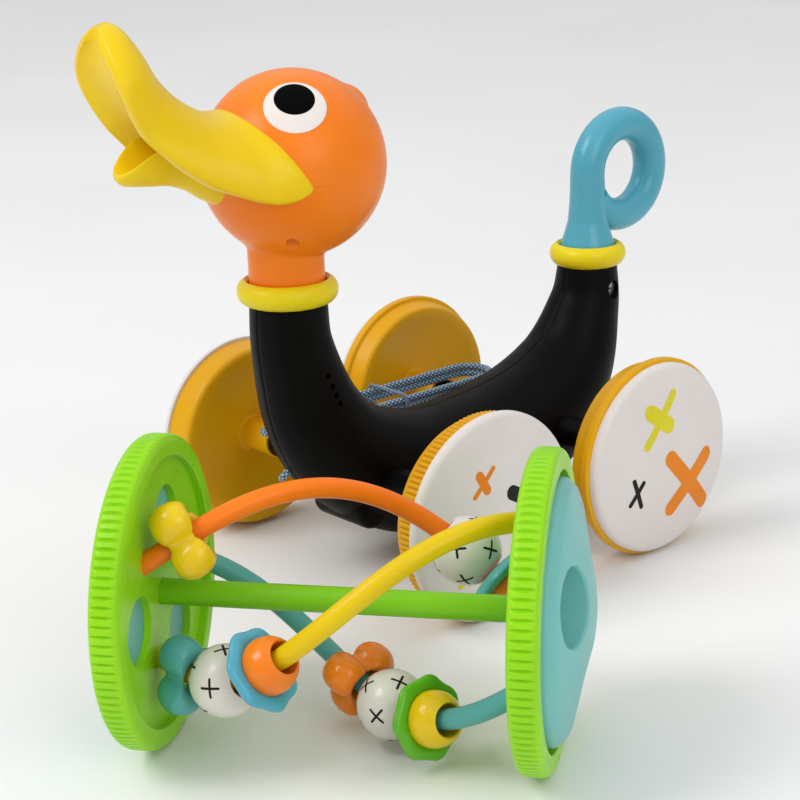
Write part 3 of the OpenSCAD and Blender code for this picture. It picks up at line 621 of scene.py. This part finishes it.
def head_ring(z, sides=120):
    """One level ring of the head and neck."""
    angles = circle(sides)
    middle = HEAD_BACK * np.clip((z - SHIFT_LOW) / SHIFT_RUN, 0, 1)
    ball = math.sqrt(max(HEAD_R ** 2 - (z - HEAD_Z) ** 2, 0))
    reach = np.full(sides, ball)
    if ball > abs(HEAD_BACK - middle):
        reach = circle_reach(HEAD_BACK - middle, ball, angles)
    if z < NECK_TOP:
        reach = smooth_max(reach, circle_reach(-middle, NECK_R, angles), NECK_FILLET)
    reach = reach - HEAD_SEAM_DIP * math.exp(-((z - PART_Z) / HEAD_SEAM_WIDTH) ** 2)
    return np.column_stack([reach * np.cos(angles), middle + reach * np.sin(angles), np.full(sides, z)])


ball_heights = HEAD_Z + HEAD_R * np.sin(np.radians(np.linspace(-74, 89.6, 110)))
near_seam = PART_Z + np.array([-1.2, -0.8, -0.5, -0.25, 0, 0.25, 0.5, 0.8, 1.2])
low_levels = sorted(set(np.r_[np.linspace(NECK_LOW, 127, 16), np.linspace(127.5, 140, 26),
                              ball_heights[ball_heights < PART_Z - 1.5], near_seam[:5]].round(4)))
high_levels = sorted(set(np.r_[near_seam[4:], ball_heights[ball_heights > PART_Z + 1.5]].round(4)))
head_pieces = {}
for name, levels, node in (("head_shell_lower", low_levels, "head_lower"),
                           ("head_shell_upper", high_levels, "head_upper")):
    points, faces = lofted([head_ring(z) for z in levels])
    head_pieces[name] = piece(name, on_neck(points), faces, head_orange, "head", [node], "orange_plastic", 50)
SCREW_SPOTS, SCREW_HOLE_R = [(19.4, -7.4), (-19.4, -7.4), (0, 25.2)], 2.4
for x, y in SCREW_SPOTS:
    points, faces = swept([(x, y, 120), (x, y, 143)], SCREW_HOLE_R, 24)
    cut(head_pieces["head_shell_lower"], on_neck(points), faces)
print("head rings", len(low_levels), len(high_levels))

# %% [markdown]
# Small forms sit on the ball as caps turned round their own axis: the bump at the back of the crown, and
# the printed eyes.
# A cap's rim goes just under the skin of the head, so that no gap shows.

# %% Caps on the head
def ball_direction(turn, lift):
    """Unit direction from the head's centre; turn is measured from the bill towards the duck's left."""
    turn, lift = math.radians(turn), math.radians(lift)
    return np.array([math.sin(turn) * math.cos(lift), -math.cos(turn) * math.cos(lift), math.sin(lift)])


def cap(direction, profile, sides=72):
    """A cap on the head from (angle in degrees, distance from the centre)."""
    outline = [(d * math.sin(math.radians(a)), d * math.cos(math.radians(a))) for a, d in profile]
    points, faces = turned(outline, sides)
    return on_neck(placed(points, (0, HEAD_BACK, HEAD_Z), direction, (0.3, 0.2, 1))), faces


def flush_cap(angle, height):
    """Profile of a thin printed cap with a rounded rim."""
    inner = [(a, HEAD_R + height) for a in np.linspace(0, angle - 0.35, 18)]
    return inner + [(angle - 0.12, HEAD_R + height * 0.7), (angle, HEAD_R + height * 0.2),
                    (angle, HEAD_R - 0.2)]


def bump_profile(centre, radius, foot):
    """A ball half sunk in the head, blended at its foot, which is an angle in degrees."""
    result = []
    for a in np.linspace(0, foot, 48):
        inside = radius ** 2 - (centre * math.sin(math.radians(a))) ** 2
        ball = centre * math.cos(math.radians(a)) + math.sqrt(inside) if inside > 0 else 0
        result.append((a, float(smooth_max(ball, HEAD_R - 0.03, 1.0))))
    return result + [(foot + 0.3, HEAD_R - 0.4)]


EYE_TURN, EYE_ANGLE, EYE_LIFT, PUPIL_ANGLE, PUPIL_LIFT = 66.5, 18.9, 46.5, 12.2, 51.3
BUMP_LIFT, BUMP_AT, BUMP_R, BUMP_FOOT = 38.4, 25.0, 10.5, 24.5
bump = cap(ball_direction(180, BUMP_LIFT), bump_profile(BUMP_AT, BUMP_R, BUMP_FOOT))
piece("crown_bump", *bump, head_orange, "head", slot="orange_plastic")
for part, angle, lift, height, material, node, slot in (
        ("eye_white", EYE_ANGLE, EYE_LIFT, 0.14, eye_white, "eye_whites", "white_plastic"),
        ("eye_pupil", PUPIL_ANGLE, PUPIL_LIFT, 0.3, pupil_black, "pupils", "black_plastic")):
    caps = [cap(ball_direction(side * EYE_TURN, lift), flush_cap(angle, height)) for side, _ in SIDES]
    piece(f"{part}_pair", *join(caps), material, "head", [node], slot)
print("caps added")

# %% [markdown]
# ## The bill
# The upper bill is an arched form that flares up to a rounded tip and is dished underneath.
# Its sections are half ellipses between an edge point and a ridge point; they are interpolated smoothly,
# and a soft edge leads into the underside.
# A loft is used because the width, the arch and the tilt all change along the bill.
# The lower bill is a narrow scoop.

# %% Upper bill
# Each section is an edge, (distance before the neck, height, half width), and a ridge, (distance, height).
BILL = [(4.5, 155.3, 31.4, 19.5, 179.3), (6.5, 153.6, 32, 21.5, 179.7), (11, 151.9, 31.3, 23.2, 179.7),
        (16, 151.6, 30.6, 25, 179.7), (22.4, 153, 29.7, 27.3, 179.9), (29.5, 155.7, 28, 29.7, 180.4),
        (37, 158.9, 25.6, 33, 181.9), (43, 163, 23.5, 36.5, 184), (48.5, 167.6, 21.6, 39.7, 186.3),
        (53.5, 172.6, 20.2, 42.6, 189), (57.4, 177, 19.5, 45, 191.8), (60.8, 182.8, 20.2, 47.3, 194.7),
        (63.2, 188, 20.9, 49.2, 197.7), (64.9, 193, 20.8, 51, 201), (66, 197.6, 18.9, 52.8, 204.2),
        (66.5, 201.6, 16, 54.6, 207), (66.6, 205, 12.6, 56.6, 209.8), (66.4, 208, 8.8, 58.8, 211.7),
        (65.8, 210.5, 4.8, 61.2, 212.8)]
EDGE_W, EDGE_DROP, EDGE_LIFT = 4.6, 1.7, 0.5
ARCH = np.radians(np.linspace(-90, 90, 49))
ACROSS = np.array([1.0, 0, 0])


def bill_ring(edge_u, edge_z, half, ridge_u, ridge_z):
    """One closed section of the bill: outer arch, rounded edge, dished underside, rounded edge."""
    rise = np.array([0, edge_u - ridge_u, ridge_z - edge_z])
    size = np.linalg.norm(rise)
    edge = np.array([0, -edge_u, edge_z]) + rise / size * EDGE_LIFT
    rise = rise * (1 - EDGE_LIFT / size)
    width = min(EDGE_W, 0.45 * half)
    drop = rise / size * EDGE_DROP * width / EDGE_W
    dish = rise * np.interp(edge_u, [40, 48, 54, 60, 66], [0.8, 0.62, 0.42, 0.24, 0.12])
    outer = [edge + rise * math.cos(t) + half * math.sin(t) * ACROSS for t in ARCH]
    under = [edge - drop + (dish + drop) * math.cos(t) ** 2 + (half - width) * math.sin(t) * ACROSS
             for t in ARCH[::-1]]
    bend = np.linspace(0, math.pi / 2, 8)[1:-1]
    left, right = ([edge - drop * math.sin(b) + side * (half - width + width * math.cos(b)) * ACROSS
                    for b in bend] for side in (1, -1))
    return np.array(outer + left + under + right[::-1])


sections = smooth_path(BILL, 8)
points, faces = lofted([bill_ring(*section) for section in sections])
piece("upper_bill_shell", on_neck(points), faces, bill_yellow, "head", ["upper_bill"], "bill_yellow", 60)
print("bill sections", len(sections))

# %% Lower bill
# Each section is (distance before the neck, height, half width, half thickness, rise of its rims).
JAW = [(22, 149.5, 9.5, 3.8, 3), (31, 153, 10.5, 3.3, 5), (38, 157.1, 11.2, 2.8, 9),
       (44, 159, 11.4, 2.6, 12), (49, 159.4, 11.3, 2.5, 12), (53, 159.7, 10.6, 2.4, 9.8),
       (57, 160.2, 8.9, 2.4, 6.2), (60.3, 160.6, 6, 2.1, 3), (62.2, 161.4, 2.6, 1.2, 0.8)]
jaw_angles = np.radians(np.arange(0, 360, 6))
cosine, sine = np.cos(jaw_angles), np.sin(jaw_angles)
jaw_rings = [np.column_stack([w * cosine, np.full_like(cosine, -u), z + t * sine + lift * cosine ** 2])
             for u, z, w, t, lift in smooth_path(JAW, 8)]
points, faces = lofted(jaw_rings)
piece("lower_bill_scoop", on_neck(points), faces, bill_yellow, "head", ["lower_bill"], "bill_yellow", 60)
print("jaw sections", len(jaw_rings))

# %% [markdown]
# ## The wheels
# A wheel is a yellow dish with a smooth bowl for its inner face and a long hub that runs in to the axle
# tube, closed by a domed white disc.
# One turned outline makes rim, bowl and hub a single closed piece.
# The near front rim carries half-round ribs, the far front one is plain with a round shoulder, and the rear
# ones have a rounded flange behind a smaller disc.

# %% Wheels
TRACK, RIBS, RIB_DEPTH, RIB_R, RIB_LOW, RIB_HIGH = 147.0, 112, 0.9, 36.5, -9.6, -2.3


def bowl(r):
    """Height of the hollowed inner face."""
    return -13.4 + 6 * (1 - (r / 31) ** 2)


BORE_R, HUB_R, HUB_END, DISH_WALL = 2.5, 6.4, -24.6, 2.0
FACE = [(BORE_R, HUB_END), (HUB_R, HUB_END, 0.8), (HUB_R, bowl(HUB_R), 1.6)]
FACE += [(r, bowl(r)) for r in np.linspace(9.5, 30.5, 15)]
INSIDE = [(32, -2.4), (32, -10.6)] + [(r, bowl(r) + DISH_WALL) for r in (28, 22, 16, 11)]
INSIDE += [(8, -5.4), (8, -2.6), (BORE_R, -2.6)]
RIMS = {"front_left": [(34.1, -13.7, 1.7), (34.2, -9.8, 0.3), (RIB_R, -9.5, 0.9), (RIB_R, -2.4, 0.3)],
        "front_right": [(36.2, -13.8, 4.2), (36.9, -2.4, 0.2)],
        "rear": [(34.7, -13.7, 2.6), (36.2, -6.3, 0.5), (38, -6.1, 0.9), (38, -2.9, 0.9), (36.6, -2.4, 0.2)]}
DISC_R, DISC_RIM = {"front": 38.0, "rear": 36.6}, 2.2


def pressed_in(points, depth):
    """Points of a turned surface, moved in towards its axis by depth(reach, angle, height)."""
    reach = np.hypot(points[:, 0], points[:, 1])
    angle = np.arctan2(points[:, 1], points[:, 0])
    scale = (reach - depth(reach, angle, points[:, 2])) / reach
    return np.column_stack([points[:, :2] * scale[:, None], points[:, 2]])


def between_ribs(reach, angle, height):
    """Depth of the gaps between the half-round ribs of the tread."""
    dip = RIB_DEPTH * (1 - np.sqrt(np.abs(np.sin(angle * RIBS / 2))))
    return dip * np.clip((reach - RIB_R + 1.6) / 1.4, 0, 1) * (height > RIB_LOW) * (height < RIB_HIGH)


def dome(r, disc_r):
    """Height of the white disc's face over its edge plane."""
    return 1 + 3.6 * (1 - (r / (disc_r - DISC_RIM)) ** 2)


def disc_outline(disc_r):
    """Half section of a domed disc with a rounded rim."""
    face = [(r, dome(r, disc_r)) for r in np.linspace(0, disc_r - DISC_RIM, 32)]
    rim = [(-1.6, 0.82), (-1.1, 0.53), (-0.7, 0.2), (-0.4, -0.15), (-0.15, -0.7), (0, -1.4), (0, -2.35)]
    return face + [(disc_r + dr, z) for dr, z in rim] + [(30, -2.35)]


WHEELS = [(f"{axle}_{half}", axle, side, DUCK + np.array([side * TRACK / 2, y, WHEEL_R]))
          for axle, y in (("front", FRONT_Y), ("rear", REAR_Y)) for side, half in SIDES]
for name, axle, side, centre in WHEELS:
    outline = soften(FACE + RIMS.get(name, RIMS["rear"]) + INSIDE, 8)
    points, faces = turned(outline, RIBS * 8 if name == "front_left" else 160, True)
    if name == "front_left":
        points = pressed_in(points, between_ribs)
    piece(f"{name}_wheel_dish", placed(points, centre, (side, 0, 0)), faces, wheel_yellow, f"{axle}_wheels",
          [f"{name}_wheel"], "wheel_yellow")
    points, faces = turned(disc_outline(DISC_R[axle]), 128)
    piece(f"{name}_disc_dome", placed(points, centre, (side, 0, 0)), faces, disc_white, f"{axle}_wheels",
          [f"{name}_disc"], "white_plastic")
print("wheels", len(WHEELS))

# %% [markdown]
# The discs are printed with loose crosses in three colours.
# Each arm is a strip with round ends, laid over the dome a few hundredths of a millimetre proud.

# %% Crosses on the discs
def arm(start, end, width, height_at, rows=12, columns=9):
    """(points, faces) of one printed stroke over a height field, in the plane's own axes."""
    start, end = np.array(start, float), np.array(end, float)
    along = (end - start) / np.linalg.norm(end - start)
    across = np.array([-along[1], along[0]])
    length = np.linalg.norm(end - start)
    points = []
    bend = width / 2 * np.sin(np.linspace(0, math.pi / 2, rows))
    for s in np.r_[-bend[::-1], np.linspace(0, length, rows)[1:-1], length + bend]:
        over = max(-s, s - length, 0)
        half = math.sqrt(max((width / 2) ** 2 - over ** 2, 1e-4))
        for t in np.linspace(-half, half, columns):
            p = start + along * s + across * t
            points.append((p[0], p[1], height_at(p) + 0.06))
    return np.array(points), grid_faces(3 * rows - 2, columns, False, False)


# Each stroke is (ink, start, end, width), with start and end measured rearwards and up from the axle.
MARKS = {
    "rear": [("yellow", (3.6, 25.4), (-12, 8.2), 3.4), ("yellow", (-9, 20.4), (-0.4, 14.2), 6.4),
             ("orange", (0.6, 0.6), (22, -22), 6.4), ("orange", (22, -3), (2, -19.6), 6.4),
             ("black", (-18.6, -3.8), (-14.6, -14.6), 1.9), ("black", (-14, -5.4), (-20, -13), 1.9)],
    "front": [("orange", (-3.6, 20.2), (-12.8, 11.7), 1.8), ("orange", (-10, 18.6), (-7.2, 13.2), 3.6),
              ("black", (4.6, 9.2), (20, 0.6), 5.4), ("black", (16.6, 11), (10.4, -1.4), 3.2),
              ("yellow", (-20, -8), (-8, -20), 4.6), ("yellow", (-9, -9.6), (-19, -19), 3.0)],
}
INKS = {"yellow": ink_yellow, "orange": ink_orange, "black": ink_black}
for name, axle, side, centre in WHEELS:
    for ink in INKS:
        strokes = []
        for layer, (_, start, end, width) in enumerate(m for m in MARKS[axle] if m[0] == ink):
            points, faces = arm(start, end, width, lambda p: dome(math.hypot(*p), DISC_R[axle]))
            points[:, 2] += 0.015 * layer
            strokes.append((np.column_stack([centre[0] + side * points[:, 2], centre[1] + points[:, 0],
                                             centre[2] + points[:, 1]]), faces))
        if strokes:
            piece(f"{name}_{ink}_cross", *join(strokes), INKS[ink], f"{axle}_wheels", slot="white_plastic")
print("crosses printed")

# %% [markdown]
# ## The roller
# The roller turns about its own axle, so its pieces are drawn along +X and then turned and moved together.
# The green treads are round-shouldered rings with a row of thin lens-shaped slits.

# %% Roller wheels
ROLLER_R = 48.75
ROLLER = np.array([55.8, -95.8, ROLLER_R])
ROLLER_TURN = math.radians(37)
ROD_START, ROD_TWIST, ROD_LEFT_R, ROD_RIGHT_R, ROD_BULGE, ROD_SPAN = 40.0, 157.0, 21.0, 28.5, 10.0, 56.0
WEB_IN, WEB_T, WINDOW_R, WINDOW_AT = 58.2, 2.4, 10.5, 22.5
RING_IN, RING_OUT, RING_BORE = 55.6, 65.0, 42.0
SLITS, SLIT_DEPTH, SLIT_HALF, SLIT_SHARE = 108, 0.9, 3.6, 0.62
AXLE_R, AXLE_HALF = 4.1, 60.0
# Each side's first window lies midway between two rods.
ROLLER_SIDES = ((-1, "left", ROD_START + 60), (1, "right", ROD_START - ROD_TWIST + 60))


def on_roller(points):
    """Points drawn along the roller's own +X, taken to the shared frame."""
    return turned_about_z(points, ROLLER_TURN, ROLLER)


def on_axle(points, side):
    """Points drawn about +Z, laid along the roller's axle towards one side, with +X at its top."""
    return on_roller(placed(points, (0, 0, 0), (side, 0, 0)))


ring_outline = soften([(RING_BORE, RING_IN, 0.6), (ROLLER_R, RING_IN, 3), (ROLLER_R, RING_OUT, 3),
                       (RING_BORE, RING_OUT, 0.6)], 8, True)
fine = []
for a, b in zip(ring_outline, np.roll(ring_outline, -1, 0)):
    count = max(int(np.linalg.norm(b - a) / 0.6), 1)
    fine += [a + (b - a) * t for t in np.arange(count) / count]


def slit_depth(reach, angle, height):
    """Depth of the thin lens-shaped slits across the tread."""
    across = (height - (RING_IN + RING_OUT) / 2) / SLIT_HALF
    along = np.sin(angle * SLITS / 2) / SLIT_SHARE
    return SLIT_DEPTH * np.sqrt(np.clip(1 - across ** 2 - along ** 2, 0, 1)) * (reach > ROLLER_R - 1.5)


def web():
    """(points, faces) of the flat web, at the height of its inner face."""
    bore, rim, top = AXLE_R + 0.05, RING_BORE + 0.4, WEB_IN + WEB_T
    return turned([(bore, WEB_IN), (rim, WEB_IN), (rim, top), (bore, top)], 96, True)


def window_cutter(angle):
    """(points, faces) of a round bar through the web, at an angle in degrees."""
    a = math.radians(angle)
    middle = np.array([WINDOW_AT * math.cos(a), WINDOW_AT * math.sin(a), 0])
    return swept([middle + (0, 0, WEB_IN - 2), middle + (0, 0, WEB_IN + WEB_T + 2)], WINDOW_R, 64)


for side, name, window in ROLLER_SIDES:
    points, faces = turned(fine, SLITS * 8, True)
    piece(f"roller_tread_{name}", on_axle(pressed_in(points, slit_depth), side), faces, roller_green,
          "roller_cage", [f"roller_wheel_{name}"], "roller_green")
    points, faces = web()
    plate = piece(f"roller_web_{name}", on_axle(points, side), faces, roller_green, "roller_cage",
                  slot="roller_green")
    for k in range(3):
        points, faces = window_cutter(window * side + 120 * k)
        cut(plate, on_axle(points, side), faces)
print("roller wheels added")

# %% [markdown]
# The teal hub covers are domed caps with three soft-edged round cups in their sloping face, one over each
# window; their flat backs show through the windows.
# A cup's cutter follows the dome's height round its mouth, so that the edge is rounded evenly on the slope.
# The axle is a plain tube, and the rods are bowed helices that run from web to web.

# %% Covers, axle and rods
COVER_BASE = WEB_IN + WEB_T
COVER_DOME = [(40, 4), (39.6, 5.2), (38.4, 6.6), (36.4, 8), (30, 10), (20.5, 12.3), (14, 13.6), (7, 14.7),
              (0, 15.4)]
CUP_R, CUP_FLOOR, CUP_EDGE, CUTTER_TOP = 11.6, 2.0, 1.1, 24.0
cover_line = smooth_path(COVER_DOME, 8)
cover = np.vstack([[(0, 0.05), (39.6, 0.05), (40, 0.4)], cover_line])


def cup_cutter(angle):
    """(points, faces) that hollow one cup out of a hub cover, at an angle in degrees."""
    middle = WINDOW_AT * np.array([math.cos(math.radians(angle)), math.sin(math.radians(angle))])
    spread = np.column_stack([np.cos(circle(96)), np.sin(circle(96))])
    mouth = middle + (CUP_R + CUP_EDGE) * spread
    top = np.interp(np.hypot(*mouth.T), cover_line[::-1, 0], cover_line[::-1, 1])
    rings = [(CUP_R - 1.2, CUP_FLOOR), (CUP_R - 0.35, CUP_FLOOR + 0.35), (CUP_R, CUP_FLOOR + 1.2)]
    for bend in np.radians(np.linspace(0, 82, 7)):
        rings.append((CUP_R + CUP_EDGE * (1 - math.cos(bend)), top - CUP_EDGE * (1 - math.sin(bend))))
    rings += [(CUP_R + CUP_EDGE + 0.2, top + 0.3), (CUP_R + CUP_EDGE + 0.3, CUTTER_TOP)]
    return lofted([np.column_stack([middle + radius * spread, COVER_BASE + height + 0 * top])
                   for radius, height in rings])


for side, name, window in ROLLER_SIDES:
    points, faces = turned(cover + np.array([0, COVER_BASE]), 160)
    dome_piece = piece(f"hub_cover_dome_{name}", on_axle(points, side), faces, cover_teal, "roller_cage",
                       [f"hub_cover_{name}"], "cover_teal")
    for k in range(3):
        points, faces = cup_cutter(window * side + 120 * k)
        cut(dome_piece, on_axle(points, side), faces)
points, faces = turned(soften([(0, -AXLE_HALF), (AXLE_R, -AXLE_HALF, 0.5), (AXLE_R, AXLE_HALF, 0.5),
                               (0, AXLE_HALF)]), 48)
piece("roller_axle_tube", on_axle(points, 1), faces, axle_green, "roller_core", ["roller_axle"],
      "roller_green")


def rod_point(t, turn):
    """Point on a rod's centre line, 0 just inside the left web and 1 just inside the right one."""
    t = np.asarray(t, float)
    a = np.radians(ROD_START - ROD_TWIST * t + turn)
    r = ROD_LEFT_R + (ROD_RIGHT_R - ROD_LEFT_R) * t + ROD_BULGE * 4 * t * (1 - t)
    return np.stack([(2 * t - 1) * ROD_SPAN, -r * np.sin(a), r * np.cos(a)], -1)


ROD_R = 3.2
RODS = {"orange": (0, rod_orange, "bead_orange"), "yellow": (120, rod_yellow, "bead_yellow"),
        "teal": (-120, rod_teal, "bead_teal")}
for name, (turn, material, slot) in RODS.items():
    points, faces = swept(rod_point(np.linspace(-0.03, 1.03, 124), turn), ROD_R)
    piece(f"{name}_rod_bar", on_roller(points), faces, material, "roller_cage", [f"{name}_rod"], slot)
print("rods", len(RODS))

# %% [markdown]
# ## The beads
# A bead is drawn about +Z with its bore along that axis, then set on its rod.
# The clover beads have three lobes, the balls have soft mouths to their bores, and the petalled discs sit on
# round core beads.

# %% Bead shapes
def on_rod(points, t, turn, roll):
    """Points drawn about +Z, set on a rod at t: +Z runs along the rod, and +X leans outwards by roll."""
    centre = rod_point(t, turn)
    along = rod_point(t + 1e-3, turn) - rod_point(t - 1e-3, turn)
    along /= np.linalg.norm(along)
    out = np.array([0, centre[1], centre[2]])
    out -= np.dot(out, along) * along
    out /= np.linalg.norm(out)
    other = np.cross(along, out)
    c, s = math.cos(math.radians(roll)), math.sin(math.radians(roll))
    frame_axes = np.column_stack([c * out + s * other, c * other - s * out, along])
    return on_roller(np.asarray(points) @ frame_axes.T + centre)


def ring_bead(inner, outer, half, power=2.4, sides=96, section=40):
    """(points, faces) of a ring whose outer radius and half height depend on the angle."""
    angles = circle(sides)
    points = []
    for b in circle(section):
        c, s = math.cos(b), math.sin(b)
        a = np.sign(c) * abs(c) ** (2 / power)
        h = np.sign(s) * abs(s) ** (2 / power)
        reach = (inner + outer(angles)) / 2 + a * (outer(angles) - inner) / 2
        points.append(np.column_stack([reach * np.cos(angles), reach * np.sin(angles), h * half(angles)]))
    return np.vstack(points), grid_faces(section, sides, True)


LOBE_R, LOBE_AT, CLOVER_HUB_R, CLOVER_HUB_H = 6.2, 7.1, 7.0, 4.2


def clover_reach(angles):
    """Outer radius of a clover bead by angle: three round lobes joined by a narrow hub."""
    from_lobe = (angles + math.pi / 3) % (2 * math.pi / 3) - math.pi / 3
    side = LOBE_AT * np.sin(from_lobe)
    lobe = LOBE_AT * np.cos(from_lobe) + np.sqrt(np.maximum(LOBE_R ** 2 - side ** 2, 0))
    return smooth_max(np.where(np.abs(side) < LOBE_R, lobe, CLOVER_HUB_R),
                      np.full_like(angles, CLOVER_HUB_R), 1.2)


def clover_half(angles):
    """Half thickness of a clover bead by angle."""
    return CLOVER_HUB_H + (LOBE_R - CLOVER_HUB_H) * np.clip((clover_reach(angles) - 7.6) / 5.0, 0, 1) ** 0.7


clover = ring_bead(4.3, clover_reach, clover_half, 2.0, 144)
BALL_R, CORE_R, BORE_MID = 11.0, 8.8, 4.4


def ball_profile(radius, mid, mouth):
    """Closed outline of a ball with an hourglass bore and softened mouths."""
    top = math.sqrt(radius ** 2 - mouth ** 2)
    rim = math.degrees(math.atan2(top, mouth))
    skin = [(radius * math.cos(math.radians(a)), radius * math.sin(math.radians(a)))
            for a in np.linspace(-rim + 3, rim - 3, 49)]
    return skin + [(mouth + 0.1, top + 0.05), (mouth - 0.35, top - 0.25), (mid, 0),
                   (mouth - 0.35, -top + 0.25), (mouth + 0.1, -top - 0.05)]


ball = turned(ball_profile(BALL_R, BORE_MID, 5.6), 96, True)
core = turned(ball_profile(CORE_R, BORE_MID, 5.4), 80, True)
PETALS, PETAL_IN, PETAL_R, PETAL_WAVE, PETAL_HALF, PETAL_BACK = 7, 6.6, 12.8, 0.5, 2.2, 4.0


def petal_ring():
    """(points, faces) of a thin petalled disc that cups a little, round the back of its core bead."""
    points, faces = ring_bead(PETAL_IN, lambda a: PETAL_R + PETAL_WAVE * np.cos(PETALS * a),
                              lambda a: np.full_like(a, PETAL_HALF), 1.7, 210, 36)
    reach = np.hypot(points[:, 0], points[:, 1])
    points[:, 2] += 0.9 * ((reach - PETAL_IN) / PETAL_IN) ** 2 - PETAL_BACK
    return points, faces


petals = petal_ring()
print("bead points", len(clover[0]), len(ball[0]), len(petals[0]))

# %% Beads on their rods
BEADS = [("yellow_clover", clover, 0.085, 0, 110, bead_yellow, "bead_yellow"),
         ("upper_ball", ball, 0.78, 0, 0, bead_white, "white_plastic"),
         ("teal_flower", petals, 0.903, 0, 10, bead_teal, "bead_teal"),
         ("teal_flower_core", core, 0.903, 0, 0, bead_orange, "bead_orange"),
         ("teal_clover", clover, 0.085, 120, 110, bead_teal, "bead_teal"),
         ("front_ball", ball, 0.215, 120, 30, bead_white, "white_plastic"),
         ("blue_flower", petals, 0.358, 120, 5, tail_teal, "tail_teal"),
         ("blue_flower_core", core, 0.358, 120, 0, bead_orange, "bead_orange"),
         ("orange_clover", clover, 0.49, -120, 100, bead_orange, "bead_orange"),
         ("lower_ball", ball, 0.612, -120, 60, bead_white, "white_plastic"),
         ("green_flower", petals, 0.752, -120, 20, flower_green, "roller_green"),
         ("green_flower_core", core, 0.752, -120, 0, bead_yellow, "bead_yellow")]
for node, (points, faces), t, turn, roll, material, slot in BEADS:
    body = node.replace("_core", "") + "_bead"
    piece(f"{node}_bead_skin", on_rod(points, t, turn, roll), faces, material, body, [node], slot)
print("beads", len(BEADS))

# %% [markdown]
# The white balls are printed with small upright crosses in a loose scatter.
# Each cross is two thin strokes laid on the ball.

# %% Crosses on the balls
def ball_cross(turn, lift, spin, size=2.7, width=0.75):
    """(points, faces) of a thin cross on a ball, at a turn and lift about the bead's own axis."""
    normal = np.array([math.cos(turn) * math.cos(lift), math.sin(turn) * math.cos(lift), math.sin(lift)])
    strokes = []
    for layer, angle in enumerate((spin, spin + math.pi / 2)):
        reach = np.array([math.cos(angle), math.sin(angle)]) * size
        points, faces = arm(-reach, reach, width, lambda p: math.sqrt(BALL_R ** 2 - p[0] ** 2 - p[1] ** 2),
                            6, 5)
        points[:, 2] += 0.012 * layer
        strokes.append((placed(points, (0, 0, 0), normal), faces))
    return join(strokes)


for node, _, t, turn, roll, _, _ in (b for b in BEADS if b[0].endswith("_ball")):
    crosses = [ball_cross(math.radians(40 * k), math.radians(26 if k % 2 else -20), 0.2 * k)
               for k in range(9)]
    points, faces = join(crosses)
    piece(f"{node}_crosses", on_rod(points, t, turn, roll), faces, ink_black, f"{node}_bead",
          slot="white_plastic")
print("ball crosses printed")

# %% [markdown]
# ## Inner pieces
# Axles and screws keep their CAD shape and get plain steel.
# The sound unit, cam and washer are hidden inside and stay a natural colour.

# %% Materials on CAD nodes
CAD_FINISH = ((steel, ("front_axle", "rear_axle", "body_screws", "neck_screw", "head_screws")),
              (inner_grey, ("sound_unit", "sound_cam", "head_retainer")))
for material, nodes in CAD_FINISH:
    for node in nodes:
        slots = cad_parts[node].data.materials
        slots.clear()
        slots.append(material)
    print(material.name, len(nodes))

# %% [markdown]
# ## Floor and light
# The floor is plain and pale.
# A key lamp stands to the camera's left, a weaker one to its right, and a very wide one hangs over the floor.
# With an even surround they give the soft light of a catalogue picture.

# %% Stage
FLOOR = 30.0
floor_mesh = bpy.data.meshes.new("floor")
corners = [(-FLOOR, -FLOOR, 0), (FLOOR, -FLOOR, 0), (FLOOR, FLOOR, 0), (-FLOOR, FLOOR, 0)]
floor_mesh.from_pydata(corners, [], [(0, 1, 2, 3)])
floor = bpy.data.objects.new("floor", floor_mesh)
floor.data.materials.append(moulded("paper_backdrop_matt", "#f0f0ef", "#ececeb", 0.8, 300.0, 0.02))
bpy.context.collection.objects.link(floor)


def lamp(name, place, target, size, power):
    """A square area lamp aimed at a point, in metres."""
    light = bpy.data.lights.new(name, "AREA")
    light.size = size
    light.energy = power
    obj = bpy.data.objects.new(name, light)
    axes = placed(np.eye(3), (0, 0, 0), np.array(place) - np.array(target))
    obj.matrix_world = Matrix.Translation(place) @ Matrix(axes.T.tolist()).to_4x4()
    bpy.context.collection.objects.link(obj)


lamp("key", (-0.5, -1.3, 1.5), (0, 0, 0.08), 0.9, 17)
lamp("fill", (1.5, -0.3, 0.9), (0, 0, 0.08), 1.0, 7)
lamp("overhead", (-1.0, 1.1, 3.0), (-1.0, 1.0, 0), 8.0, 76)
world = bpy.data.worlds.new("surround")
bpy.context.scene.world = world
world.use_nodes = True
tree = world.node_tree
tree.nodes.clear()
rays = add(tree, "LightPath")
seen = add(tree, "Background", {"Color": linear("#fbfbfb"), "Strength": 1.0})
lit = add(tree, "Background", {"Color": linear("#f4f5f7"), "Strength": 0.55})
mix = add(tree, "MixShader", None, {0: rays.outputs["Is Camera Ray"], 1: lit.outputs["Background"],
                                    2: seen.outputs["Background"]})
add(tree, "OutputWorld", None, {"Surface": mix.outputs["Shader"]})
bpy.context.scene.view_settings.view_transform = "Standard"
print("stage set")
